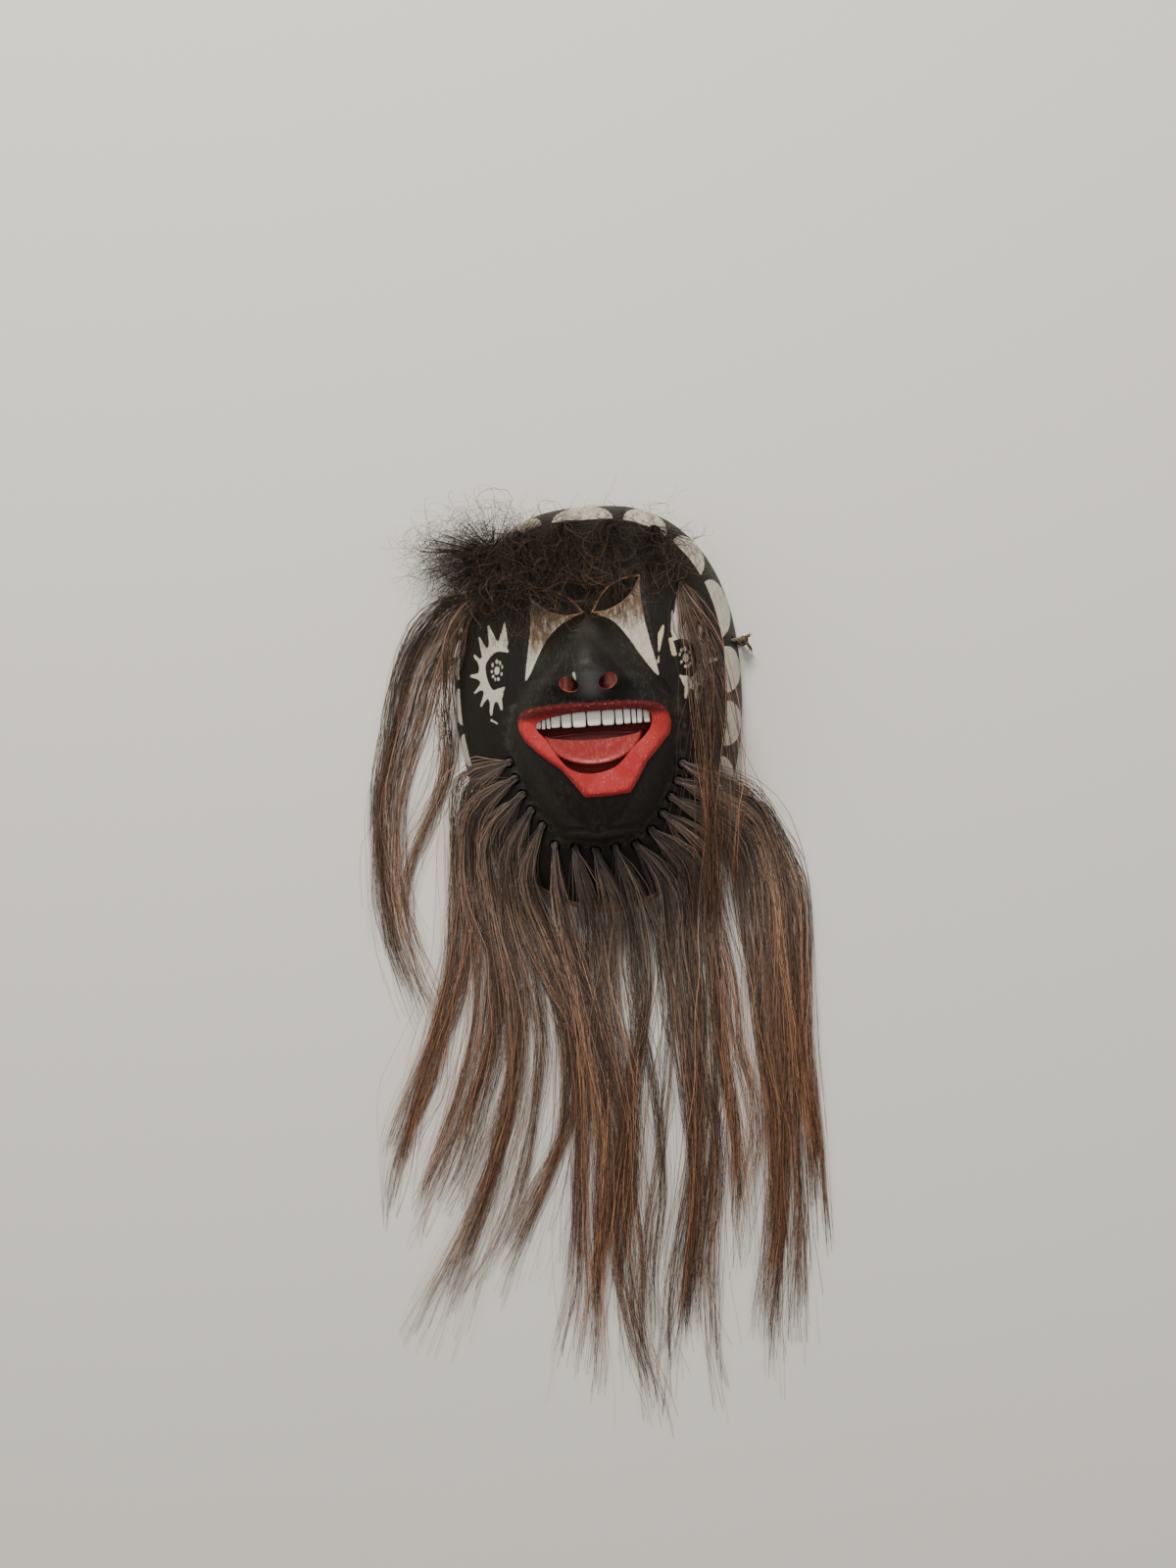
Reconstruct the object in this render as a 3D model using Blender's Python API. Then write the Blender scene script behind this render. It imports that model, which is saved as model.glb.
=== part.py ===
"""A carved wooden festival mask with a horsehair beard, lying on its flat rim with its face up.

Metres, +Z up. The mask is shaped about the middle of its rim: +Y is the top of the head, and +Z is
the way the face looks. The beard, the side locks and the hair across the brow are tufts, each set in
its own drilled socket. The long hair droops from the jaw and lies on the surface under the mask.
At the end everything is moved so that the origin is under the middle of the whole object.
"""

import math

import bmesh
import bpy
import numpy as np
from mathutils import Matrix, Vector

# The shell of the mask
MASK_WIDTH = 0.141
MASK_HEIGHT = 0.200
FACE_DEPTH = 0.050  # from the rim to the front of the forehead
WIDEST_LEVEL = 0.008  # how far the widest level lies above the middle
WALL = 0.008
HEAD_SQUARENESS = 2.4
CHIN_SQUARENESS = 2.0

# The carving: how far each form stands out, or is cut in
MUZZLE_RISE = 0.0125
MUZZLE_EDGE = 0.0135  # width of its rounded edge
NOSE_RISE = 0.0125
NASION_DIP = 0.0045
FACET_DEPTH = 0.003  # the flats under the eyes
LIP_RISE = 0.002
LIP_SLOPE = 0.4  # how steeply the lips fall towards the mouth
LIP_CREST = 0.002  # width of their outer edge
MOUTH_DEPTH = 0.011  # below the muzzle's front
NOSE_HOLLOW = 0.012  # inside, behind the nose
EYE_LENGTH = 0.0265
EYE_HEIGHT = 0.0092
NOSTRIL_DEPTH = 0.007
TOOTH_HEIGHT = 0.0078
TOOTH_SETBACK = 0.0045  # behind the muzzle's front
TOOTH_GAP = 0.0004

# The sockets and what is set in them
SOCKET_DIAMETER = 0.0056
SOCKET_DEPTH = 0.005
FIT_GAP = 0.0003
JAW_OFFSET = 0.0035  # from the muzzle's edge to the row of sockets
HAIR_LIFT = 0.0012  # under the hair, above the wood

# The hair
BEARD_TUFTS = 15
BEARD_LENGTH = 0.290  # from the chin to the longest tip
BEARD_THICKNESS = 0.0075
BEARD_PARTING = 0.0022  # between one tuft and the next
LOCK_WIDTH = 0.010
LOCK_THICKNESS = 0.006
LOCK_GAP = 0.003
BROW_TUFT_WIDTH = 0.0195
BROW_TUFT_THICKNESS = 0.0095

# The ties at the sides
TIE_DIAMETER = 0.0022
TIE_LEVEL = 0.028  # above the middle of the mask
TIE_HOLE_HEIGHT = 0.014  # above the rim
TIE_HOLE_DIAMETER = 0.0038
TIE_TAIL = 0.007

# Shares of the half width and the half height of the mask
MUZZLE_OUTLINE = (  # level, half width
    (-0.66, 0.0),
    (-0.62, 0.205),
    (-0.57, 0.29),
    (-0.50, 0.369),
    (-0.40, 0.447),
    (-0.30, 0.503),
    (-0.20, 0.539),
    (-0.10, 0.553),
    (0.0, 0.51),
    (0.10, 0.44),
    (0.19, 0.352),
    (0.27, 0.27),
    (0.36, 0.17),
    (0.42, 0.071),
    (0.47, 0.0),
)
MUZZLE_FULLNESS = (  # level, share of the rise
    (-0.66, 1.0),
    (-0.45, 1.04),
    (-0.20, 1.0),
    (0.10, 1.0),
    (0.30, 0.75),
    (0.42, 0.4),
    (0.50, 0.1),
)
NOSE_PROFILE = (  # level, share of the rise
    (0.0, 0.0),
    (0.04, 0.25),
    (0.09, 0.78),
    (0.14, 1.0),
    (0.20, 0.97),
    (0.28, 0.7),
    (0.36, 0.4),
    (0.44, 0.12),
    (0.52, 0.0),
)
NOSE_WIDTH = ((0.0, 0.24), (0.10, 0.23), (0.20, 0.20), (0.30, 0.15), (0.44, 0.09))
NASION = (0.46, 0.128, 0.09)  # level, spread across, spread along
FACET_OUTER_TOP = (0.348, 0.57)
FACET_TIP = (0.44, 0.107)
FACET_LEVELS = (0.107, 0.45)
OUTER_LIPS = (
    (-0.484, -0.055), (-0.455, -0.024), (-0.38, -0.011), (-0.215, -0.004), (0.04, -0.002),
    (0.30, -0.008), (0.425, -0.02), (0.481, -0.043), (0.50, -0.107), (0.49, -0.155),
    (0.417, -0.216), (0.332, -0.282), (0.267, -0.362), (0.218, -0.413), (0.08, -0.422),
    (-0.07, -0.424), (-0.129, -0.366), (-0.203, -0.30), (-0.338, -0.224), (-0.435, -0.156),
    (-0.474, -0.105),
)
MOUTH = (
    (-0.36, -0.075), (-0.16, -0.047), (0.04, -0.043), (0.372, -0.042), (0.382, -0.108),
    (0.353, -0.149), (0.238, -0.222), (0.174, -0.275), (0.113, -0.303), (0.013, -0.321),
    (-0.087, -0.316), (-0.165, -0.292), (-0.221, -0.243), (-0.277, -0.177), (-0.305, -0.148),
    (-0.357, -0.11),
)
TOOTH_EDGES = (-0.365, -0.323, -0.292, -0.261, -0.194, -0.123, -0.031, 0.064, 0.148, 0.201,
               0.25, 0.285, 0.323, 0.373)
TOOTH_TOP_LEVEL = -0.03
TONGUE = (0.0, -0.138)  # the middle of its flat top
TONGUE_REACH = (0.312, 0.142)
EYES = ((0.193, 0.497, 35.5), (-0.208, 0.474, 156.0))  # middle, slant in degrees
NOSTRILS = ((0.125, 0.078, 32.0), (-0.12, 0.074, 165.0))
NOSTRIL_REACH = (0.066, 0.034)
JAW_START, JAW_SWEEP = 180.0, 172.0  # degrees about the middle of the muzzle
MUZZLE_MIDDLE = -0.20

# The fan of the beard, as shares of its length from the chin: across, and down. One line for each
# quarter of the jaw, after the socket
FAN_LINES = (
    ((-0.222, -0.095), (-0.25, 0.028), (-0.269, 0.183), (-0.328, 0.355), (-0.379, 0.50), (-0.421, 0.641)),
    ((-0.148, 0.036), (-0.14, 0.148), (-0.112, 0.321), (-0.117, 0.51), (-0.152, 0.672), (-0.215, 0.87)),
    ((-0.002, 0.075), (0.0, 0.183), (0.003, 0.372), (0.007, 0.579), (0.0, 0.752), (0.004, 0.975)),
    ((0.152, 0.03), (0.166, 0.166), (0.172, 0.355), (0.169, 0.545), (0.155, 0.735), (0.126, 1.0)),
    ((0.266, -0.068), (0.314, 0.079), (0.317, 0.252), (0.324, 0.424), (0.328, 0.579), (0.31, 0.724)),
)
FAN_STEPS = (0.0, 0.12, 0.25, 0.45, 0.65, 0.82, 1.0)
TUFT_ENDS = (0.99, 0.95, 1.0, 0.93, 0.99, 1.0, 0.86, 0.97, 1.0, 0.99, 1.0, 0.84, 1.0, 0.93, 1.0)
BEARD_TAPER = ((0.0, 0.75), (0.1, 0.95), (0.3, 1.0), (0.7, 0.9), (0.9, 0.5), (1.0, 0.22))
LOCK_TAPER = ((0.0, 0.5), (0.2, 0.9), (0.6, 1.0), (0.85, 0.7), (1.0, 0.2))
BROW_TAPER = ((0.0, 0.6), (0.2, 0.95), (0.5, 1.0), (0.85, 0.85), (1.0, 0.5))
# Paths in shares of the half width and the half height, from the socket to the tip
LEFT_LOCK = ((-0.76, 0.54), (-0.90, 0.49), (-1.16, 0.36), (-1.42, 0.0), (-1.58, -0.42), (-1.60, -0.85),
             (-1.52, -1.25))
RIGHT_LOCK = ((0.62, 0.53), (0.70, 0.40), (0.76, 0.15), (0.75, -0.20), (0.74, -0.60), (0.78, -0.95),
              (0.80, -1.34))
BROW_TUFTS = (
    ((-0.62, 0.76), (-0.82, 0.77), (-1.02, 0.69)),
    ((-0.42, 0.83), (-0.47, 0.66), (-0.53, 0.47)),
    ((-0.13, 0.86), (-0.15, 0.66), (-0.17, 0.46)),
    ((0.17, 0.86), (0.16, 0.68), (0.14, 0.52)),
    ((0.47, 0.82), (0.48, 0.72), (0.47, 0.62)),
)

# How finely the shapes are made
SHELL_AROUND = 176
SHELL_RINGS = 200
SHELL_FACES = 2500
SOCKET_SIDES = 8
TUFT_SIDES = 8
TUFT_RINGS = 12
BROW_SIDES = 10
BROW_RINGS = 6
TUFT_LOBE = 0.12  # depth of the grooves along a tuft
ROOT_CLOSENESS = 1.6
SPAN_CHECKS = 6  # places between two rings where the wood below is looked at
STEEPEST_HAIR = 1.1  # how steeply the hair can droop
DRAPE_PASSES = 3  # how often its droop is eased
TIE_SIDES = 6

HALF_WIDTH = MASK_WIDTH / 2
HALF_HEIGHT = MASK_HEIGHT / 2
SMALL = 1e-9
PLANED_OFF = 0.001  # the shell is shaped this much below the rim, then planed flat


def smooth(table, at):
    """A smooth curve through the rows of a table, flat beyond its ends."""
    knots = np.array([row[0] for row in table], dtype=float)
    values = np.array([row[1] for row in table], dtype=float)
    slopes = np.gradient(values, knots)
    at = np.clip(np.asarray(at, dtype=float), knots[0], knots[-1])
    left = np.clip(np.searchsorted(knots, at, side="right") - 1, 0, len(knots) - 2)
    span = knots[left + 1] - knots[left]
    u = (at - knots[left]) / span
    start = (1 + 2 * u) * (1 - u) ** 2 * values[left] + u * (1 - u) ** 2 * span * slopes[left]
    end = u * u * (3 - 2 * u) * values[left + 1] + u * u * (u - 1) * span * slopes[left + 1]
    return start + end


def on_face(share_x, share_y):
    return share_x * HALF_WIDTH, share_y * HALF_HEIGHT


def rim_share(x, y, inset=0.0):
    """How far out a point lies: 0 at the widest level's middle, 1 on the outline."""
    up = np.asarray(y) >= WIDEST_LEVEL
    reach = np.where(up, HALF_HEIGHT - WIDEST_LEVEL, HALF_HEIGHT + WIDEST_LEVEL) - inset
    power = np.where(up, HEAD_SQUARENESS, CHIN_SQUARENESS)
    across = np.abs(x) / (HALF_WIDTH - inset) + SMALL
    along = np.abs(y - WIDEST_LEVEL) / reach + SMALL
    return (across**power + along**power) ** (1 / power)


def dome(x, y):
    return FACE_DEPTH * np.sqrt(np.clip(1 - rim_share(x, y) ** 2, 0, None))


def outside_muzzle(x, y):
    """About how far a point lies outside the muzzle's outline, negative inside it."""
    level = np.asarray(y) / HALF_HEIGHT
    low, high = MUZZLE_OUTLINE[0][0], MUZZLE_OUTLINE[-1][0]
    step = 0.004
    half = smooth(MUZZLE_OUTLINE, level) * HALF_WIDTH
    ahead = smooth(MUZZLE_OUTLINE, level + step) * HALF_WIDTH
    behind = smooth(MUZZLE_OUTLINE, level - step) * HALF_WIDTH
    slope = (ahead - behind) / (2 * step * HALF_HEIGHT)
    beside = (np.abs(x) - half) / np.sqrt(1 + slope**2)
    past = np.maximum(low - level, level - high) * HALF_HEIGHT
    return np.where(past > 0, np.hypot(x, past), beside)


def outline_distance(x, y, outline):
    """Distance to a closed outline given in shares of the face, negative inside it."""
    corners = np.array([on_face(*corner) for corner in outline])
    x, y = np.asarray(x, dtype=float), np.asarray(y, dtype=float)
    nearest = np.full(x.shape, np.inf)
    inside = np.zeros(x.shape, dtype=bool)
    for (ax, ay), (bx, by) in zip(corners, np.roll(corners, -1, axis=0)):
        along = ((x - ax) * (bx - ax) + (y - ay) * (by - ay)) / ((bx - ax) ** 2 + (by - ay) ** 2)
        along = np.clip(along, 0, 1)
        gap = np.hypot(x - ax - along * (bx - ax), y - ay - along * (by - ay))
        nearest = np.minimum(nearest, gap)
        crosses = (ay > y) != (by > y)
        rise = np.where(np.abs(by - ay) > SMALL, by - ay, SMALL)
        inside ^= crosses & (x < ax + (y - ay) * (bx - ax) / rise)
    return np.where(inside, -nearest, nearest)


def muzzle_height(x, y):
    """The muzzle and the nose above the dome of the face."""
    level = np.asarray(y) / HALF_HEIGHT
    inward = np.clip((0.1 * MUZZLE_EDGE - outside_muzzle(x, y)) / MUZZLE_EDGE, 0, 1)
    muzzle = MUZZLE_RISE * smooth(MUZZLE_FULLNESS, level) * np.sin(inward * math.pi / 2)
    nose_half = smooth(NOSE_WIDTH, level) * HALF_WIDTH
    nose = NOSE_RISE * smooth(NOSE_PROFILE, level) * np.exp(-((x / nose_half) ** 2))
    return muzzle + nose


def facet_depth(x, y):
    """The flat under each eye, deepest along the muzzle and running out at its outer line."""
    level = np.asarray(y) / HALF_HEIGHT
    (top_x, top_y), (tip_x, tip_y) = FACET_OUTER_TOP, FACET_TIP
    outer = (tip_x + (level - tip_y) / (top_y - tip_y) * (top_x - tip_x)) * HALF_WIDTH
    inner = smooth(MUZZLE_OUTLINE, level) * HALF_WIDTH
    across = (np.abs(x) - inner) / np.maximum(outer - inner, 0.1 * MUZZLE_EDGE)
    low, high = FACET_LEVELS
    along = np.clip((level - low) / (high - low), 0, 1)
    inside = (across < 1) & (level > low)
    depth = FACET_DEPTH * np.clip(1.15 - across, 0, 1) * np.sin(along * math.pi * 0.6)
    return np.where(inside, np.clip(depth, 0, None), 0.0)


def face_height(x, y):
    """Height of the carved face above the rim's plane."""
    across, level_spread = NASION[1] * HALF_WIDTH, NASION[2] * HALF_HEIGHT
    dip = NASION_DIP * np.exp(
        -((x / across) ** 2) - ((y - NASION[0] * HALF_HEIGHT) / level_spread) ** 2
    )
    within = -outline_distance(x, y, OUTER_LIPS)
    lips = LIP_RISE * np.clip(2 * within / LIP_CREST, 0, 1)
    lips -= LIP_SLOPE * np.clip(within - LIP_CREST, 0, MUZZLE_EDGE)
    return dome(x, y) + muzzle_height(x, y) - dip - facet_depth(x, y) + lips


def hollow_height(x, y):
    """Height of the hollow behind the face."""
    depth = FACE_DEPTH - WALL
    inner = depth * np.sqrt(np.clip(1 - rim_share(x, y, WALL) ** 2, 0, None))
    nose_level = 0.22 * HALF_HEIGHT
    reach = 0.2 * HALF_WIDTH
    return inner + NOSE_HOLLOW * np.exp(-(x**2 + (y - nose_level) ** 2) / reach**2)


def outward(x, y):
    """The way a drill goes out of the dome of the face at a point."""
    step = 0.002 * HALF_WIDTH
    slope_x = (dome(x + step, y) - dome(x - step, y)) / (2 * step)
    slope_y = (dome(x, y + step) - dome(x, y - step)) / (2 * step)
    return Vector((-float(slope_x), -float(slope_y), 1)).normalized()


def collection(name):
    made = bpy.data.collections.new(name)
    bpy.context.scene.collection.children.link(made)
    return made


def paint(name, colour, roughness):
    """A plain material of this colour."""
    material = bpy.data.materials.new(name)
    material.use_nodes = True
    shader = material.node_tree.nodes["Principled BSDF"]
    shader.inputs["Base Color"].default_value = (*colour, 1)
    shader.inputs["Roughness"].default_value = roughness
    return material


def mesh_object(name, shape, group, material=None):
    """Turns a finished bmesh into an object of this collection."""
    bmesh.ops.recalc_face_normals(shape, faces=shape.faces)
    mesh = bpy.data.meshes.new(name)
    shape.to_mesh(mesh)
    shape.free()
    obj = bpy.data.objects.new(name, mesh)
    group.objects.link(obj)
    if material:
        mesh.materials.append(material)
        mesh.shade_smooth()
        mesh.set_sharp_from_angle(angle=math.radians(40))
    return obj


def cutter_object(name, shape):
    obj = mesh_object(name, shape, cutters)
    obj.hide_render = True
    obj.display_type = "WIRE"
    return obj


def combine(target, tool, operation):
    boolean = target.modifiers.new(tool.name, "BOOLEAN")
    boolean.operation = operation
    boolean.solver = "EXACT"
    boolean.object = tool


def extrude_outline(shape, corners, bottom, top):
    """Adds a prism with this outline, given in metres, between two heights."""
    lower = [shape.verts.new((x, y, bottom)) for x, y in corners]
    base = shape.faces.new(lower)
    made = bmesh.ops.extrude_face_region(shape, geom=[base])["geom"]
    upper = [item for item in made if isinstance(item, bmesh.types.BMVert)]
    bmesh.ops.translate(shape, verts=upper, vec=(0, 0, top - bottom))


def shell():
    """The carved shell: a sphere whose upper half becomes the face and lower half the hollow."""
    shape = bmesh.new()
    bmesh.ops.create_uvsphere(
        shape, u_segments=SHELL_AROUND, v_segments=SHELL_RINGS, radius=1
    )
    spots = np.array([vert.co for vert in shape.verts])
    angle = np.arctan2(spots[:, 1], spots[:, 0])
    front = spots[:, 2] >= -SMALL
    share = np.clip(np.hypot(spots[:, 0], spots[:, 1]), 0, 1)
    inset = np.where(front, 0.0, WALL)
    across, along = np.cos(angle), np.sin(angle)
    edge = 1 / rim_share(across, along + WIDEST_LEVEL, inset)
    x = across * edge * share
    y = WIDEST_LEVEL + along * edge * share
    heights = np.where(front, face_height(x, y), hollow_height(x, y))
    heights -= PLANED_OFF * share**8
    for vert, spot in zip(shape.verts, zip(x, y, heights)):
        vert.co = spot
    mask = mesh_object("mask", shape, parts, paint("black_painted_wood", (0.012, 0.01, 0.008), 0.4))
    thin = mask.modifiers.new("plain stretches made coarser", "DECIMATE")
    thin.ratio = SHELL_FACES / (2 * SHELL_AROUND * (SHELL_RINGS - 1))
    return mask


def plane_rim(mask):
    """Planes the back of the rim flat."""
    shape = bmesh.new()
    bmesh.ops.create_cube(shape, size=1)
    size = (2 * MASK_WIDTH, 2 * MASK_HEIGHT, 10 * PLANED_OFF)
    bmesh.ops.scale(shape, verts=shape.verts, vec=size)
    bmesh.ops.translate(shape, verts=shape.verts, vec=(0, 0, -5 * PLANED_OFF))
    combine(mask, cutter_object("rim_plane", shape), "DIFFERENCE")


def mouth_floor():
    x, y = on_face(*TONGUE)
    return float(dome(x, y) + MUZZLE_RISE - MOUTH_DEPTH)


def cut_mouth(mask):
    """The recess of the mouth, which stops short of the hollow."""
    shape = bmesh.new()
    corners = [on_face(*corner) for corner in MOUTH]
    extrude_outline(shape, corners, mouth_floor(), FACE_DEPTH + MUZZLE_RISE + NOSE_RISE)
    combine(mask, cutter_object("mouth_recess", shape), "DIFFERENCE")


def carve_teeth(mask):
    """A row of upper teeth that stands in the recess behind the upper lip."""
    shape = bmesh.new()
    top = TOOTH_TOP_LEVEL * HALF_HEIGHT
    back = mouth_floor() - TOOTH_SETBACK / 4
    for left, right in zip(TOOTH_EDGES, TOOTH_EDGES[1:]):
        left_x = left * HALF_WIDTH + TOOTH_GAP / 2
        right_x = right * HALF_WIDTH - TOOTH_GAP / 2
        middle = (left_x + right_x) / 2
        front = float(dome(middle, top)) + MUZZLE_RISE - TOOTH_SETBACK
        tooth = bmesh.ops.create_cube(shape, size=1)["verts"]
        size = (right_x - left_x, TOOTH_HEIGHT, front - back)
        bmesh.ops.scale(shape, verts=tooth, vec=size)
        place = (middle, top - TOOTH_HEIGHT / 2, (front + back) / 2)
        bmesh.ops.translate(shape, verts=tooth, vec=place)
    combine(mask, cutter_object("teeth", shape), "UNION")


def carve_tongue(mask):
    """The tongue: the lower half of a flattened dome on the floor of the mouth."""
    shape = bmesh.new()
    bmesh.ops.create_uvsphere(shape, u_segments=16, v_segments=10, radius=1)
    ends = bmesh.ops.bisect_plane(
        shape,
        geom=shape.verts[:] + shape.edges[:] + shape.faces[:],
        plane_co=(0, 0, 0),
        plane_no=(0, 1, 0),
        clear_outer=True,
    )["geom_cut"]
    bmesh.ops.contextual_create(shape, geom=[g for g in ends if isinstance(g, bmesh.types.BMEdge)])
    reach = (TONGUE_REACH[0] * HALF_WIDTH, TONGUE_REACH[1] * HALF_HEIGHT, MOUTH_DEPTH * 0.55)
    bmesh.ops.scale(shape, verts=shape.verts, vec=reach)
    x, y = on_face(*TONGUE)
    bmesh.ops.translate(shape, verts=shape.verts, vec=(x, y, mouth_floor()))
    combine(mask, cutter_object("tongue", shape), "UNION")


def pierce_eyes(mask):
    """A leaf-shaped hole right through the wall for each eye."""
    shape = bmesh.new()
    steps = 8
    for share_x, share_y, slant in EYES:
        x, y = on_face(share_x, share_y)
        turn = math.radians(slant)
        corners = []
        for side in (1, -1):
            for k in range(steps):
                along = side * (k / steps * 2 - 1) * EYE_LENGTH / 2
                bulge = side * EYE_HEIGHT / 2 * (1 - (k / steps * 2 - 1) ** 2)
                corners.append((
                    x + along * math.cos(turn) - bulge * math.sin(turn),
                    y + along * math.sin(turn) + bulge * math.cos(turn),
                ))
        extrude_outline(shape, corners, 0, FACE_DEPTH + MUZZLE_RISE)
    combine(mask, cutter_object("eye_holes", shape), "DIFFERENCE")


def cut_nostrils(mask):
    """Slanting pockets under the tip of the nose."""
    shape = bmesh.new()
    for share_x, share_y, slant in NOSTRILS:
        x, y = on_face(share_x, share_y)
        pocket = bmesh.ops.create_uvsphere(shape, u_segments=10, v_segments=6, radius=1)["verts"]
        reach = (NOSTRIL_REACH[0] * HALF_WIDTH, NOSTRIL_REACH[1] * HALF_HEIGHT, NOSTRIL_DEPTH)
        turn = Matrix.Rotation(math.radians(slant), 4, "Z") @ Matrix.Diagonal((*reach, 1))
        place = Matrix.Translation((x, y, float(face_height(x, y))))
        bmesh.ops.transform(shape, verts=pocket, matrix=place @ turn)
    combine(mask, cutter_object("nostrils", shape), "DIFFERENCE")


def drill(shape, spot, way, diameter, depth, above, sides=SOCKET_SIDES):
    """Adds a round cutter that goes from this far above a spot to this depth under it."""
    turn = way.to_track_quat("Z", "Y").to_matrix().to_4x4()
    middle = spot + way * (above - depth) / 2
    bmesh.ops.create_cone(
        shape,
        cap_ends=True,
        segments=sides,
        radius1=diameter / 2,
        radius2=diameter / 2,
        depth=above + depth,
        matrix=Matrix.Translation(middle) @ turn,
    )


def socket_spot(x, y):
    return Vector((x, y, float(dome(x, y))))


def jaw_socket(share):
    """The place of a beard socket, this share of the way along the jaw from the left."""
    turn = math.radians(JAW_START + JAW_SWEEP * share)
    low, high = 0.0, MASK_HEIGHT
    for _ in range(40):
        middle = (low + high) / 2
        x = middle * math.cos(turn)
        y = MUZZLE_MIDDLE * HALF_HEIGHT + middle * math.sin(turn)
        if outside_muzzle(x, y) > JAW_OFFSET:
            high = middle
        else:
            low = middle
    return x, y


def beard_shares():
    return [(k + 0.5) / BEARD_TUFTS for k in range(BEARD_TUFTS)]


def drill_sockets(mask):
    """A blind hole for every tuft."""
    places = [jaw_socket(share) for share in beard_shares()]
    places += [on_face(*path[0]) for path in (LEFT_LOCK, RIGHT_LOCK, *BROW_TUFTS)]
    shape = bmesh.new()
    for x, y in places:
        drill(shape, socket_spot(x, y), outward(x, y), SOCKET_DIAMETER, SOCKET_DEPTH, SOCKET_DEPTH)
    combine(mask, cutter_object("sockets", shape), "DIFFERENCE")


def wall_at(height, inset=0.0):
    """How far the wall stands out from the middle, at the level of the ties and this height."""
    depth = FACE_DEPTH - inset
    wanted = math.sqrt(1 - (height / depth) ** 2)
    x = 0.0
    step = HALF_WIDTH / 2
    while step > SMALL:
        if rim_share(x + step, TIE_LEVEL, inset) < wanted:
            x += step
        step /= 2
    return x


def cut_tie_ways(mask):
    """A hole in each side for the tie, and a notch in the rim that it passes through."""
    shape = bmesh.new()
    for side in (-1, 1):
        way = Vector((side, 0, 0))
        spot = Vector((side * wall_at(TIE_HOLE_HEIGHT), TIE_LEVEL, TIE_HOLE_HEIGHT))
        drill(shape, spot, way, TIE_HOLE_DIAMETER, 2 * WALL, WALL)
        notch = bmesh.ops.create_cube(shape, size=1)["verts"]
        tall = TIE_DIAMETER + 2 * FIT_GAP
        size = (3 * WALL, TIE_DIAMETER + 4 * FIT_GAP, 2 * tall)
        bmesh.ops.scale(shape, verts=notch, vec=size)
        place = (side * (HALF_WIDTH - WALL / 2), TIE_LEVEL, 0)
        bmesh.ops.translate(shape, verts=notch, vec=place)
    combine(mask, cutter_object("tie_ways", shape), "DIFFERENCE")


def loft(shape, rings):
    """Adds a closed body through rings of points that have the same number of points."""
    rows = [[shape.verts.new(point) for point in ring] for ring in rings]
    for lower, upper in zip(rows, rows[1:]):
        for k, here in enumerate(lower):
            after = (k + 1) % len(lower)
            shape.faces.new((here, lower[after], upper[after], upper[k]))
    shape.faces.new(reversed(rows[0]))
    shape.faces.new(rows[-1])


def ring(middle, way, half_width, half_height, sides, lobe=0.0):
    """Points of a grooved oval across this way, its width level with the surface."""
    aside = Vector((0, 0, 1)).cross(way).normalized()
    up = way.cross(aside).normalized()
    points = []
    for k in range(sides):
        turn = 2 * math.pi * k / sides
        reach = 1 - lobe * (k % 2)
        offset = aside * (half_width * math.cos(turn)) + up * (half_height * math.sin(turn))
        points.append(middle + offset * reach)
    return points


def closer_at_root(count):
    """Shares of a tuft's length for its rings, close together where it leaves the socket."""
    return np.linspace(0, 1, count + 1) ** ROOT_CLOSENESS


def path_points(shares, count):
    """Places on a smooth curve through points given as shares of the face."""
    points = np.array([on_face(*share) for share in shares])
    steps = np.concatenate([[0], np.cumsum(np.hypot(*np.diff(points, axis=0).T))])
    at = closer_at_root(count) * steps[-1]
    return np.stack([smooth(list(zip(steps, points[:, k])), at) for k in (0, 1)], axis=1)


def directions(points):
    ways = np.gradient(points, axis=0)
    return ways / np.linalg.norm(ways, axis=1, keepdims=True)


def wood_under(x, y):
    """Height of the wood under a point, and of the surface it lies on outside the mask."""
    inside = rim_share(x, y) < 1
    return np.where(inside, face_height(x, y), 0.0)


def height_needed(points, halves, thicks, under):
    """The least height of the middle of a tuft over what is under it."""
    ways = directions(points)
    aside = np.stack([-ways[:, 1], ways[:, 0]], axis=1)
    needed = thicks / 2 + FIT_GAP
    for share in np.linspace(-1, 1, 7):
        spots = points + aside * (halves * share)[:, None]
        ground = under(spots[:, 0], spots[:, 1])
        lift = np.where(ground > 0, HAIR_LIFT + thicks / 2, 0)
        needed = np.maximum(needed, ground + lift)
    return needed


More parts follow.
